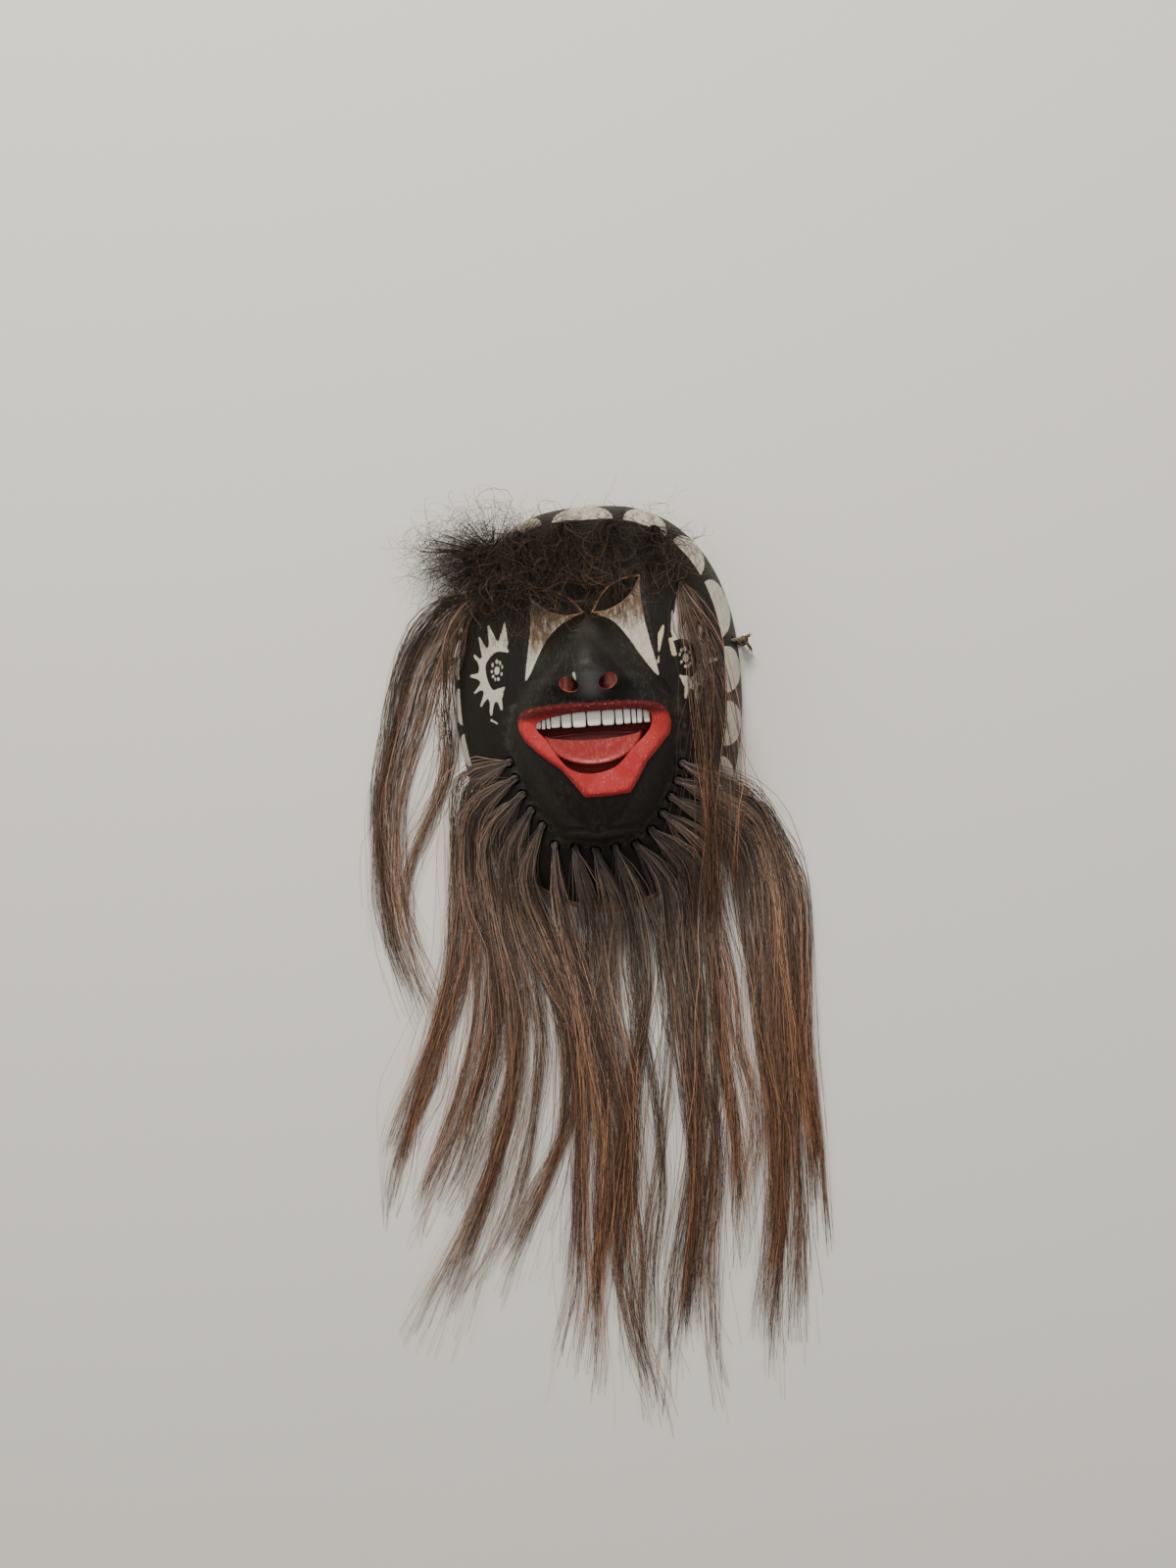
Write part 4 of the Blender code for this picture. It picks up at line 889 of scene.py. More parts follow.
def painted_values(points):
    """What the paint needs to know at each point of the mask, with distances in millimetres."""
    x, y, z = points.T
    xm, ym = x / MM, y / MM
    sunk = (face_height(x, y) - z) / MM
    past_muzzle = outside_muzzle(x, y) / MM
    eyes = nearest_of(polygon_distance(x, y, eye_outline(*eye)) / MM for eye in EYES)
    mouth = polygon_distance(x, y, mouth_outline()) / MM
    in_mouth = (mouth < 0.15) & (z > mouth_floor() - 0.0005) & (sunk > 0.35)
    in_nostril = (nostril_distance(x, y) < 0.2) & (sunk > 0.25) & (z > FACE_DEPTH)
    in_socket = (socket_distance(points) < SOCKET_SHADE_REACH) & (sunk > 0.6) & (z > 0)
    in_eye = (eyes < 0.3) & (sunk > SKIN)
    hidden = (sunk > SKIN) & ~in_mouth & ~in_nostril

    flash = nearest_of(
        polygon_distance(xm, ym, rounded(np.array(corners), 1))
        for corners in (EYE_FLASH_RIGHT, EYE_FLASH_LEFT)
    )
    suns = nearest_of([
        sun_distance(xm, ym), sun_distance(-xm, ym),
        *(taper_distance(xm, ym, *stroke) for stroke in STRAY_STROKES),
    ])
    drips = nearest_of(taper_distance(xm, ym, *drip) for drip in DRIPS)
    border = border_distance(x, y)

    turn = np.arctan2(y - WIDEST_LEVEL, x)
    uneven = 0.22 * np.sin(turn * 7 + 0.6) + 0.16 * np.sin(turn * 19) + 0.08 * np.sin(turn * 47 + 1)
    from_rim = (1 - rim_share(x, y)) * (HALF_HEIGHT + WIDEST_LEVEL) / MM
    under_chin = np.clip(1.1 - ((turn + math.pi / 2) / CHIN_STRIP_REACH) ** 2, 0, 1) ** 0.7
    rim = np.minimum(z / MM - 0.5 - uneven, (from_rim - CHIN_STRIP * under_chin - 0.4 * uneven) * 2)
    rim = np.where(hidden, -3.0, rim)
    eye_rim = np.where(sunk < SKIN, np.abs(eyes) - EYE_RIM, 9.0)

    muzzle = np.clip(0.5 - past_muzzle / 5, 0, 1)
    muzzle *= 0.3 + 0.7 * ramp(ym, -12, 2) - 0.65 * ramp(ym, 18, 36)
    return {
        "white_edge": nearest_of([flash, suns, drips, border]),
        "lip_edge": polygon_distance(x, y, outline(OUTER_LIPS)) / MM,
        # painted shade on the upper lip
        "upper_lip_painted_shade": np.clip((ym + 6.4 + 0.05 * np.abs(xm)) / 2.2, 0, 1),
        "bare_edge": np.minimum(rim, eye_rim),
        # painted light on the bare strip under the chin
        "chin_painted_light": under_chin * ~hidden,
        "in_mouth": in_mouth.astype(float),
        "in_nostril": in_nostril.astype(float),
        # painted shade, deeper in the nostrils and towards the middle
        "nostril_shade": np.clip((9.6 - np.abs(xm)) / 3, 0, 1) * np.clip(sunk / 2.5 - 0.2, 0, 1),
        # painted shade inside the eye holes and the sockets
        "painted_shade_in_holes": (in_eye | in_socket).astype(float),
        "ridge": ridge_sharpness(x, y) * (rim_share(x, y) < 0.97),
        # painted shade and grime on the white ornament
        "shade_and_grime": shade_and_grime_on_white(xm, ym, flash, suns, border),
        "drip": np.clip(1 - drips, 0, 1),
        "muzzle": muzzle,
        "jaw_dust": np.exp(-(((past_muzzle - 1.0) / 2.6) ** 2)) * (ym < 2),
        # where the painted highlight lies on the nose's tip, which is also glossier there
        "nose_tip": np.exp(-(((xm - 1.2) / 5.0) ** 2) - ((ym - 6.4) / 4.6) ** 2),
    }


# Node helpers


class Sheet:
    """A short way to lay out the nodes of one material or group.

    A colour is given as its red, green and blue. In the name of an input an underscore stands
    for a space.
    """

    def __init__(self, tree):
        self.tree = tree

    def feed(self, socket, value):
        """Links an output to a socket, or sets a colour or a number on it."""
        if isinstance(value, bpy.types.NodeSocket):
            self.tree.links.new(value, socket)
        elif isinstance(value, tuple):
            socket.default_value = (*value, 1.0)
        else:
            socket.default_value = value

    def add(self, kind, settings=None, **inputs):
        made = self.tree.nodes.new(kind)
        for label, value in (settings or {}).items():
            setattr(made, label, value)
        for label, value in inputs.items():
            self.feed(made.inputs[label.replace("_", " ")], value)
        return made

    def group(self, tree, **inputs):
        return self.add("ShaderNodeGroup", {"node_tree": tree}, **inputs)

    def math(self, operation, *numbers, clamp=False):
        made = self.add("ShaderNodeMath", {"operation": operation, "use_clamp": clamp})
        for socket, value in zip(made.inputs, numbers):
            self.feed(socket, value)
        return made.outputs[0]

    def times(self, first, second, clamp=False):
        return self.math("MULTIPLY", first, second, clamp=clamp)

    def plus(self, start, value, share, clamp=False):
        """The start with this share of a value added to it."""
        return self.math("ADD", start, self.times(value, share), clamp=clamp)

    def mix(self, share, first, second):
        """A colour that goes from the first to the second as the share goes from 0 to 1."""
        made = self.add("ShaderNodeMix", {"data_type": "RGBA"})
        for index, value in zip(COLOUR_MIX_INPUTS, (share, first, second)):
            self.feed(made.inputs[index], value)
        return made.outputs[COLOUR_MIX_RESULT]

    def value(self, label):
        """A value that was painted on the points of the piece."""
        return self.add("ShaderNodeAttribute", {"attribute_name": label}).outputs["Fac"]

    def step(self, value, low, high):
        """0 below low, 1 above high, with a soft turn between."""
        made = self.add("ShaderNodeMapRange", {"interpolation_type": "SMOOTHSTEP"},
                        Value=value, From_Min=low, From_Max=high)
        return made.outputs["Result"]

    def place(self):
        """Where a point lies in the piece's own frame, in metres."""
        return self.add("ShaderNodeTexCoord").outputs["Object"]

    def stretched(self, vector, scale, turn=(0, 0, 0)):
        """A place scaled and turned, to draw a pattern out one way."""
        made = self.add("ShaderNodeMapping", Vector=vector)
        made.inputs["Scale"].default_value = scale
        made.inputs["Rotation"].default_value = turn
        return made.outputs["Vector"]

    def noise(self, vector, scale, detail=3.0, roughness=0.55):
        made = self.add("ShaderNodeTexNoise", Vector=vector, Scale=scale, Detail=detail,
                        Roughness=roughness)
        return made.outputs["Fac"]


def new_group(name, inputs, outputs):
    """An empty effect with named inputs and outputs, ready to lay out."""
    tree = bpy.data.node_groups.new(name, "ShaderNodeTree")
    for label, kind, start in inputs:
        socket = tree.interface.new_socket(label, in_out="INPUT", socket_type=kind)
        socket.default_value = start
    for label, kind in outputs:
        tree.interface.new_socket(label, in_out="OUTPUT", socket_type=kind)
    entry = tree.nodes.new("NodeGroupInput")
    leave = tree.nodes.new("NodeGroupOutput")
    return tree, Sheet(tree), entry.outputs, leave.inputs


FLOAT, COLOUR = "NodeSocketFloat", "NodeSocketColor"
COLOUR_MIX_INPUTS = (0, 6, 7)  # the sockets of the share, the first colour and the second
COLOUR_MIX_RESULT = 2


def brushed_paint_group():
    """Hand brushed paint: a colour with streaks and rubbed patches, its gloss and its relief."""
    tree, sheet, entry, leave = new_group(
        "brushed paint",
        [
            ("Colour", COLOUR, (0.5, 0.5, 0.5, 1)),
            ("Streak Colour", COLOUR, (0.3, 0.3, 0.3, 1)),
            ("Streaks", FLOAT, 0.5),
            ("Gloss", FLOAT, 0.4),
        ],
        [("Colour", COLOUR), ("Roughness", FLOAT), ("Relief", FLOAT)],
    )
    place = sheet.place()
    strokes = sheet.noise(sheet.stretched(place, (1.0, 0.28, 0.5), (0, 0, 0.35)), 900.0, 4.0, 0.65)
    dabs = sheet.noise(place, 420.0, 5.0, 0.7)
    patches = sheet.noise(place, 70.0)
    marks = sheet.step(sheet.plus(sheet.times(strokes, 0.6), dabs, 0.4), 0.48, 0.62)
    streaks = sheet.times(marks, entry["Streaks"])
    share = sheet.times(streaks, sheet.step(patches, 0.3, 0.62), clamp=True)
    sheet.feed(leave["Colour"], sheet.mix(share, entry["Colour"], entry["Streak Colour"]))
    rough = sheet.plus(entry["Gloss"], marks, 0.16)
    sheet.feed(leave["Roughness"], sheet.plus(rough, patches, 0.12))
    sheet.feed(leave["Relief"], marks)
    return tree


def ragged_edge_group():
    """Where paint covers: 1 inside a painted shape, with a hand-drawn, slightly ragged edge."""
    tree, sheet, entry, leave = new_group(
        "ragged edge",
        [("Distance", FLOAT, 0.0), ("Raggedness", FLOAT, 0.3), ("Softness", FLOAT, 0.2)],
        [("Cover", FLOAT)],
    )
    place = sheet.place()
    wobble = sheet.math("SUBTRACT", sheet.noise(place, 380.0), 0.5)
    fine = sheet.math("SUBTRACT", sheet.noise(place, 1500.0, 2.0), 0.5)
    wobble = sheet.times(sheet.plus(wobble, fine, 0.5), entry["Raggedness"])
    moved = sheet.plus(entry["Distance"], wobble, 3.0)
    cover = sheet.math("DIVIDE", moved, entry["Softness"])
    sheet.feed(leave["Cover"], sheet.plus(0.5, cover, -0.5, clamp=True))
    return tree


def wood_grain_group():
    """Bare carved wood: fibres and rings along the mask, stains, and the cuts of the gouge."""
    tree, sheet, entry, leave = new_group(
        "wood grain",
        [("Light", COLOUR, (0.36, 0.20, 0.12, 1)), ("Dark", COLOUR, (0.16, 0.08, 0.045, 1))],
        [("Colour", COLOUR), ("Relief", FLOAT)],
    )
    place = sheet.place()
    fibres = sheet.noise(sheet.stretched(place, (1.0, 0.06, 1.0)), 1100.0, 4.0, 0.6)
    rings = sheet.noise(sheet.stretched(place, (1.0, 0.12, 1.0)), 120.0, 3.0, 0.5)
    cuts = sheet.noise(sheet.stretched(place, (0.5, 1.0, 0.5), (0, 0, 0.5)), 160.0, 2.0)
    stain = sheet.noise(place, 38.0, 4.0)
    share = sheet.plus(sheet.plus(sheet.times(fibres, 0.35), rings, 0.4), stain, 0.35)
    sheet.feed(leave["Colour"], sheet.mix(sheet.step(share, 0.4, 0.72), entry["Light"], entry["Dark"]))
    sheet.feed(leave["Relief"], sheet.plus(sheet.times(fibres, 0.35), cuts, 0.65))
    return tree


def hair_tone_group():
    """The colour of a hair from its root to its tip, some hairs lighter, and dull where it is set, with
    painted shade and dirt darkening it there.
    """
    tree, sheet, entry, leave = new_group(
        "hair tone",
        [
            ("Root", COLOUR, (0.2, 0.15, 0.12, 1)),
            ("Middle", COLOUR, (0.15, 0.09, 0.06, 1)),
            ("Tip", COLOUR, (0.16, 0.08, 0.04, 1)),
            ("Along", FLOAT, 0.5),
            ("Tone", FLOAT, 0.5),
            ("Gloss", FLOAT, 0.3),
        ],
        [("Colour", COLOUR), ("Roughness", FLOAT)],
    )
    along, tone = entry["Along"], entry["Tone"]
    turned = sheet.plus(along, sheet.math("SUBTRACT", tone, 0.5), 0.45)
    colour = sheet.mix(sheet.step(turned, 0.02, 0.42), entry["Root"], entry["Middle"])
    colour = sheet.mix(sheet.step(turned, 0.38, 0.95), colour, entry["Tip"])
    grown = sheet.step(along, 0.04, 0.2)
    light = sheet.plus(0.3, sheet.math("POWER", tone, 3.2), 5.0)
    # painted shade and dirt darken the hair near its root
    light = sheet.times(light, sheet.plus(0.2, grown, 0.8))
    lit = sheet.add("ShaderNodeHueSaturation", Color=colour, Value=light)
    sheet.feed(leave["Colour"], lit.outputs["Color"])
    rough = sheet.plus(entry["Gloss"], sheet.noise(sheet.place(), 600.0, 2.0), 0.2)
    rough = sheet.plus(rough, sheet.math("SUBTRACT", 1.0, grown), 0.7, clamp=True)
    sheet.feed(leave["Roughness"], rough)
    return tree


def new_finish(name):
    """A material with its shader, ready to lay out."""
    finish = bpy.data.materials.new(name)
    finish.use_nodes = True
    shader = finish.node_tree.nodes["Principled BSDF"]
    return finish, Sheet(finish.node_tree), shader


def bump(sheet, shader, height, strength, distance):
    """Stands the surface out by this height, up to this distance in metres."""
    made = sheet.add("ShaderNodeBump", Height=height, Strength=strength, Distance=distance)
    sheet.feed(shader.inputs["Normal"], made.outputs["Normal"])


def painted_part(sheet, edge, label, raggedness, softness):
    """Where one of the painted shapes covers the mask, from the distance to its edge."""
    made = sheet.group(edge, Distance=sheet.value(label), Raggedness=raggedness, Softness=softness)
    return made.outputs["Cover"]


def black_colour(sheet, black):
    """The black paint, greyer on ridges, dusty along the jaw, with a painted highlight on the tip of the
    nose.
    """
    ridge = sheet.step(sheet.value("ridge"), 0.35, 1.1)
    colour = sheet.mix(sheet.times(ridge, 0.2), black, RIDGE_GREY)
    dust = sheet.step(sheet.noise(sheet.place(), 260.0, 4.0, 0.6), 0.35, 0.7)
    dust = sheet.times(dust, sheet.value("jaw_dust"))
    colour = sheet.mix(sheet.times(dust, 0.5), colour, JAW_DUST)
    # painted highlight on the tip of the nose
    return sheet.mix(sheet.times(sheet.value("nose_tip"), 0.8), colour, NOSE_PAINTED_HIGHLIGHT)


def white_cover(sheet, edge):
    """Where the white ornament covers, chipped here and there."""
    cover = painted_part(sheet, edge, "white_edge", 0.22, 0.16)
    chips = sheet.step(sheet.noise(sheet.place(), 520.0, 4.0, 0.65), 0.66, 0.72)
    return sheet.times(cover, sheet.plus(1.0, chips, -0.85))


def white_colour(sheet, paint, streaky):
    """The white paint, with painted shade and grime in streaks, most towards the brow, and yellowed
    where it has dripped.
    """
    white = sheet.group(paint, Colour=WHITE_PAINT, Streak_Colour=WHITE_STREAKS, Streaks=0.8, Gloss=0.42)
    shade_and_grime = sheet.value("shade_and_grime")
    shaded_and_soiled = sheet.step(sheet.plus(streaky, shade_and_grime, 0.32), 0.56, 0.86)
    shaded_and_soiled = sheet.times(shaded_and_soiled, sheet.math("ADD", 0.12, shade_and_grime, clamp=True))
    colour = sheet.mix(shaded_and_soiled, white.outputs["Colour"], SHADE_AND_GRIME_BROWN)
    return sheet.mix(sheet.times(sheet.value("drip"), 0.6), colour, YELLOWED_DRIP)


def lip_colour(sheet, paint, scratches):
    """The red of the lips, with painted shade on the upper one, and pale specks and dark scratches."""
    red = sheet.group(paint, Colour=LIP_RED, Streak_Colour=LIP_STREAKS, Streaks=0.5, Gloss=0.32)
    colour = sheet.mix(sheet.value("upper_lip_painted_shade"), red.outputs["Colour"], UPPER_LIP_PAINTED_SHADE)
    specks = sheet.step(sheet.noise(sheet.place(), 900.0, 3.0, 0.7), 0.64, 0.72)
    colour = sheet.mix(sheet.times(specks, 0.8), colour, LIP_SPECKS)
    return sheet.mix(sheet.times(scratches, 0.5), colour, LIP_SCRATCHES)


def nostril_colour(sheet, streaky):
    """The rubbed red of the nostrils, with painted shade in their depths."""
    colour = sheet.mix(sheet.step(streaky, 0.42, 0.6), NOSTRIL_RED, NOSTRIL_PINK)
    return sheet.mix(sheet.value("nostril_shade"), colour, NOSTRIL_PAINTED_SHADE)


def bare_wood_colour(sheet, wood):
    """The bare wood, made pale under the chin as painted light, with painted shade in the sockets and
    the eyes.
    """
    # painted light under the chin
    colour = sheet.mix(sheet.times(sheet.value("chin_painted_light"), 0.75), wood, CHIN_WOOD_PAINTED_LIGHT)
    # painted shade in the sockets and the eyes
    return sheet.mix(sheet.value("painted_shade_in_holes"), colour, HOLE_PAINTED_SHADE)


def painted_mask_finish(paint, edge, grain):
    """Black paint with white ornament, red lips and nostrils, and bare wood at the rim and behind."""
    finish, sheet, shader = new_finish("painted mask")
    muzzle, tip = sheet.value("muzzle"), sheet.value("nose_tip")
    black = sheet.group(paint, Colour=sheet.mix(muzzle, BLACK_PAINT, MUZZLE_BLACK),
                        Streak_Colour=BLACK_STREAKS, Streaks=sheet.plus(0.07, muzzle, 0.27), Gloss=0.44)
    slanting = sheet.stretched(sheet.place(), (1.0, 0.3, 0.6), (0, 0, -0.5))
    streaky = sheet.noise(slanting, 420.0, 5.0, 0.7)
    scratches = sheet.step(streaky, 0.62, 0.8)
    white = white_cover(sheet, edge)
    lips = painted_part(sheet, edge, "lip_edge", 0.12, 0.18)
    bare = painted_part(sheet, edge, "bare_edge", 0.5, 0.25)
    wood = sheet.group(grain)

    colour = black_colour(sheet, black.outputs["Colour"])
    colour = sheet.mix(white, colour, white_colour(sheet, paint, streaky))
    colour = sheet.mix(lips, colour, lip_colour(sheet, paint, scratches))
    colour = sheet.mix(sheet.value("in_nostril"), colour, nostril_colour(sheet, streaky))
    colour = sheet.mix(sheet.value("in_mouth"), colour, MOUTH_RED)
    colour = sheet.mix(bare, colour, bare_wood_colour(sheet, wood.outputs["Colour"]))
    sheet.feed(shader.inputs["Base Color"], colour)

    rough = sheet.plus(black.outputs["Roughness"], bare, 0.3)
    sheet.feed(shader.inputs["Roughness"], sheet.plus(rough, tip, -0.16, clamp=True))
    shader.inputs["Specular IOR Level"].default_value = 0.2
    relief = sheet.plus(sheet.times(black.outputs["Relief"], 0.4), white, 0.5)
    relief = sheet.plus(relief, lips, 0.5)
    relief = sheet.plus(relief, sheet.times(bare, wood.outputs["Relief"]), 1.2)
    relief = sheet.plus(relief, sheet.times(lips, scratches), -1.2)
    bump(sheet, shader, relief, 0.55, 0.00035)
    return finish


def tooth_finish(paint):
    """White paint on wooden teeth, brown in the corners between them."""
    finish, sheet, shader = new_finish("tooth paint")
    white = sheet.group(paint, Colour=TOOTH_WHITE, Streak_Colour=TOOTH_STREAKS, Streaks=0.5, Gloss=0.34)
    corners = sheet.step(sheet.value("tooth_side"), 0.62, 1.0)
    speckle = sheet.step(sheet.noise(sheet.place(), 1300.0, 3.0, 0.7), 0.62, 0.75)
    share = sheet.plus(corners, speckle, 0.35, clamp=True)
    colour = sheet.mix(share, white.outputs["Colour"], TOOTH_CORNERS)
    sheet.feed(shader.inputs["Base Color"], colour)
    sheet.feed(shader.inputs["Roughness"], white.outputs["Roughness"])
    bump(sheet, shader, white.outputs["Relief"], 0.5, 0.0002)
    return finish


def tongue_finish(paint, edge):
    """Red paint, with painted shade on the tongue's sides and, in the dark red of the mouth, over its
    top.
    """
    finish, sheet, shader = new_finish("tongue paint")
    red = sheet.group(paint, Colour=TONGUE_RED, Streak_Colour=TONGUE_STREAKS, Streaks=0.6, Gloss=0.26)
    # painted shade on the tongue's sides
    colour = sheet.mix(sheet.value("tongue_shade"), red.outputs["Colour"], TONGUE_SIDES_PAINTED_SHADE)
    # painted shade in dark red over the tongue's top
    top = painted_part(sheet, edge, "below_top", 0.25, 0.3)
    sheet.feed(shader.inputs["Base Color"], sheet.mix(top, colour, TONGUE_TOP_PAINTED_SHADE))
    sheet.feed(shader.inputs["Roughness"], sheet.plus(red.outputs["Roughness"], top, 0.5, clamp=True))
    bump(sheet, shader, red.outputs["Relief"], 0.5, 0.0002)
    return finish


def hair_finish(name, hair_tone, colours, sheen, gloss):
    """Hair with its colours at the root, the middle and the tip."""
    finish, sheet, shader = new_finish(name)
    root, middle, tip = colours
    hair = sheet.group(hair_tone, Root=root, Middle=middle, Tip=tip, Along=sheet.value("along"),
                       Tone=sheet.value("tone"), Gloss=gloss)
    sheet.feed(shader.inputs["Base Color"], hair.outputs["Colour"])
    sheet.feed(shader.inputs["Roughness"], hair.outputs["Roughness"])
    shader.inputs["Specular IOR Level"].default_value = sheen
    return finish


def twine_finish(grain):
    """Pale twisted plant fibre, soiled."""
    finish, sheet, shader = new_finish("twine")
    fibre = sheet.group(grain, Light=TWINE_LIGHT, Dark=TWINE_DARK)
    sheet.feed(shader.inputs["Base Color"], fibre.outputs["Colour"])
    shader.inputs["Roughness"].default_value = 0.85
    bump(sheet, shader, fibre.outputs["Relief"], 0.6, 0.0002)
    return finish


# The pieces of the face


def make_mask(finish):
    """The carved shell with its holes cut and its paint laid on."""
    points, faces = cut_mesh(*carved_shell(), holes())
    values = painted_values(points)
    piece("mask_carving", points, faces, finish, "painted_wood", ("mask",), values, CRISP_EDGES)


def closed_rings(rings):
    """A closed body through rings that have the same number of points, with flat ends."""
    count = len(rings[0])
    points = np.vstack(rings)
    faces = []
    for k in range(len(rings) - 1):
        for n in range(count):
            m = (n + 1) % count
            faces.append((k * count + n, k * count + m, (k + 1) * count + m, (k + 1) * count + n))
    faces.append(tuple(range(count - 1, -1, -1)))
    faces.append(tuple(range((len(rings) - 1) * count, len(rings) * count)))
    return points, faces


def joined(bodies):
    """The points and faces of several bodies together."""
    all_points, all_faces, start = [], [], 0
    for points, faces in bodies:
        all_points.append(points)
        all_faces += [tuple(start + n for n in face) for face in faces]
        start += len(points)
    return np.vstack(all_points), all_faces


def make_teeth(finish):
    """Thirteen carved teeth, each a rounded block with its own height, width and lean."""
    rng = np.random.default_rng(41)
    top = TOOTH_TOP_LEVEL * HALF_HEIGHT - TOOTH_INSET
    floor = mouth_floor() - TOOTH_FOOT
    around = np.linspace(0, 2 * math.pi, TOOTH_POINTS, endpoint=False)
    square_x = np.sign(np.cos(around)) * np.abs(np.cos(around)) ** TOOTH_SQUARENESS
    square_y = np.sign(np.sin(around)) * np.abs(np.sin(around)) ** TOOTH_SQUARENESS
    bodies, sides = [], []
    for left, right in zip(TOOTH_EDGES, TOOTH_EDGES[1:]):
        half = (right - left) * HALF_WIDTH / 2 - TOOTH_GAP / 2
        middle = (left + right) * HALF_WIDTH / 2
        tall = (TOOTH_HEIGHT - TOOTH_INSET) / 2 * (1 + rng.normal(0, 0.025))
        front = float(dome(middle, top)) + MUZZLE_RISE - TOOTH_SETBACK + TOOTH_CROWN
        front += rng.normal(0, 0.00012)
        lean = rng.normal(0, 0.03)
        ring_y = tall * square_y
        ring_x = half * square_x * (1 - TOOTH_TAPER * (square_y < -0.5)) + lean * ring_y
        rings = []
        rows = [(floor, 1.0, 1.0)] + [(front + rise, grow, side) for rise, grow, side in TOOTH_ROWS]
        for height, grow, side in rows:
            level = np.full(TOOTH_POINTS, height)
            rings.append(np.stack([middle + ring_x * grow, top - tall + ring_y * grow, level], axis=1))
            sides.append(np.full(TOOTH_POINTS, side))
        bodies.append(closed_rings(rings))
    values = {"tooth_side": np.concatenate(sides)}
    piece("teeth", *joined(bodies), finish, "painted_wood", values=values)


def make_tongue(finish):
    """A scooped tongue with a straight upper edge."""
    middle_x, top = on_face(*TONGUE)
    floor = mouth_floor()
    reach_x, reach_y = on_face(*TONGUE_REACH)
    turn = np.linspace(math.pi, 2 * math.pi, 56)
    arc = np.stack([reach_x * np.cos(turn), reach_y * np.sin(turn)], axis=1)
    line_x = np.linspace(reach_x, -reach_x, 34)[1:-1]
    line = np.stack([line_x, TONGUE_BOW * np.cos(line_x / reach_x * math.pi)], axis=1)
    ring_plan = np.vstack([arc, line])
    centre = np.array([0.0, -0.3 * reach_y])
    rings, shade, below_top = [], [], []
    for height, grow, dark in TONGUE_ROWS:
        plan = centre + (ring_plan - centre) * grow
        rise = height + TONGUE_TILT * np.clip(1 + plan[:, 1] / reach_y, 0, 1) * (height > 0)
        rings.append(np.stack([middle_x + plan[:, 0], top + plan[:, 1], floor + rise], axis=1))
        shade.append(np.full(len(plan), dark))
        # painted shade over the tongue's top, measured down from its upper edge
        shade_depth = TONGUE_SHADE_DEPTH - TONGUE_SHADE_CURVE * (plan[:, 0] / reach_x) ** 2
        below_top.append(-plan[:, 1] / MM - shade_depth)
    values = {"tongue_shade": np.concatenate(shade), "below_top": np.concatenate(below_top)}
    piece("tongue", *closed_rings(rings), finish, "painted_wood", values=values)


# Hair


def unit(vectors):
    """The same directions, one unit long."""
    return vectors / (np.linalg.norm(vectors, axis=-1, keepdims=True) + SMALL)


def hair_mesh(name, node, hairs, radii, tone, finish, slot):
    """One piece of many fine hairs, each a closed three-sided thread along its own points."""
    count, points, _ = hairs.shape
    ways = unit(np.gradient(hairs, axis=1))
    aside = unit(np.cross(ways, OFF_ALL_HAIRS))
    up = np.cross(aside, ways)
    along = np.linspace(0, 1, points)
    thick = radii[:, None] * (1 - 0.5 * along**2)
    corners = []
    for k in range(3):
        turn = 2 * math.pi * k / 3
        offset = aside * math.cos(turn) + up * math.sin(turn)
        corners.append(hairs + offset * thick[:, :, None])
    threads = np.stack(corners, axis=2)
    start = (np.arange(count) * points * 3)[:, None, None]
    step = (np.arange(points - 1) * 3)[None, :, None]
    side = np.arange(3)[None, None, :]
    first, second = start + step + side, start + step + (side + 1) % 3
    quads = np.stack([first, second, second + 3, first + 3], axis=-1).reshape(-1, 4)
    base = np.arange(count) * points * 3
    roots = np.stack([base + 2, base + 1, base], axis=1)
    tips = roots[:, ::-1] + (points - 1) * 3
    faces = quads.tolist() + roots.tolist() + tips.tolist()
    values = {
        "along": np.broadcast_to(along[None, :, None], (count, points, 3)),
        "tone": np.broadcast_to(tone[:, None, None], (count, points, 3)),
    }
    piece(name, threads.reshape(-1, 3), faces, finish, slot, (node,), values)


def wood_under(x, y):
    """Height of the wood under a point, and of the surface it lies on outside the mask."""
    return np.where(rim_share(x, y) < 1, face_height(x, y), 0.0)


def plan_curve(points, count):
    """Places on a smooth curve in plan through these points, evenly spaced."""
    points = np.asarray(points, dtype=float)
    run = np.concatenate([[0], np.cumsum(np.hypot(*np.diff(points, axis=0).T))])
    at = np.linspace(0, run[-1], count)
    return np.stack([smooth(list(zip(run, points[:, k])), at) for k in (0, 1)], axis=1)


def resting_curve(plan, half, thick, start, under=None):
    """Heights of the middle of a lock: over the wood, drooping no faster than hair can.

    Where a function for what lies under the lock is given, it goes over that too.
    """
    ways = np.gradient(plan, axis=0)
    ways /= np.linalg.norm(ways, axis=1, keepdims=True)
    aside = np.stack([-ways[:, 1], ways[:, 0]], axis=1)
    needed = thick / 2 + HAIR_CLEARANCE
    for share in np.linspace(-1, 1, 5):
        spots = plan + aside * (half * share)[:, None]
        ground = wood_under(spots[:, 0], spots[:, 1])
        if under is not None:
            ground = np.maximum(ground, under(spots[:, 0], spots[:, 1]))
        needed = np.maximum(needed, ground + np.where(ground > 0, 0.0006 + thick / 2, 0))
    heights = needed.copy()
    heights[0] = start
    runs = np.hypot(*np.diff(plan, axis=0).T)
    for k in range(1, len(heights)):
        heights[k] = max(heights[k], heights[k - 1] - STEEPEST_DROOP * runs[k - 1])
    for k in range(len(heights) - 2, 0, -1):
        heights[k] = max(heights[k], heights[k + 1] - STEEPEST_DROOP * runs[k])
    for _ in range(14):
        heights[1:-1] = (heights[:-2] + 2 * heights[1:-1] + heights[2:]) / 4
        heights[1:] = np.maximum(heights[1:], needed[1:])
    return heights, aside


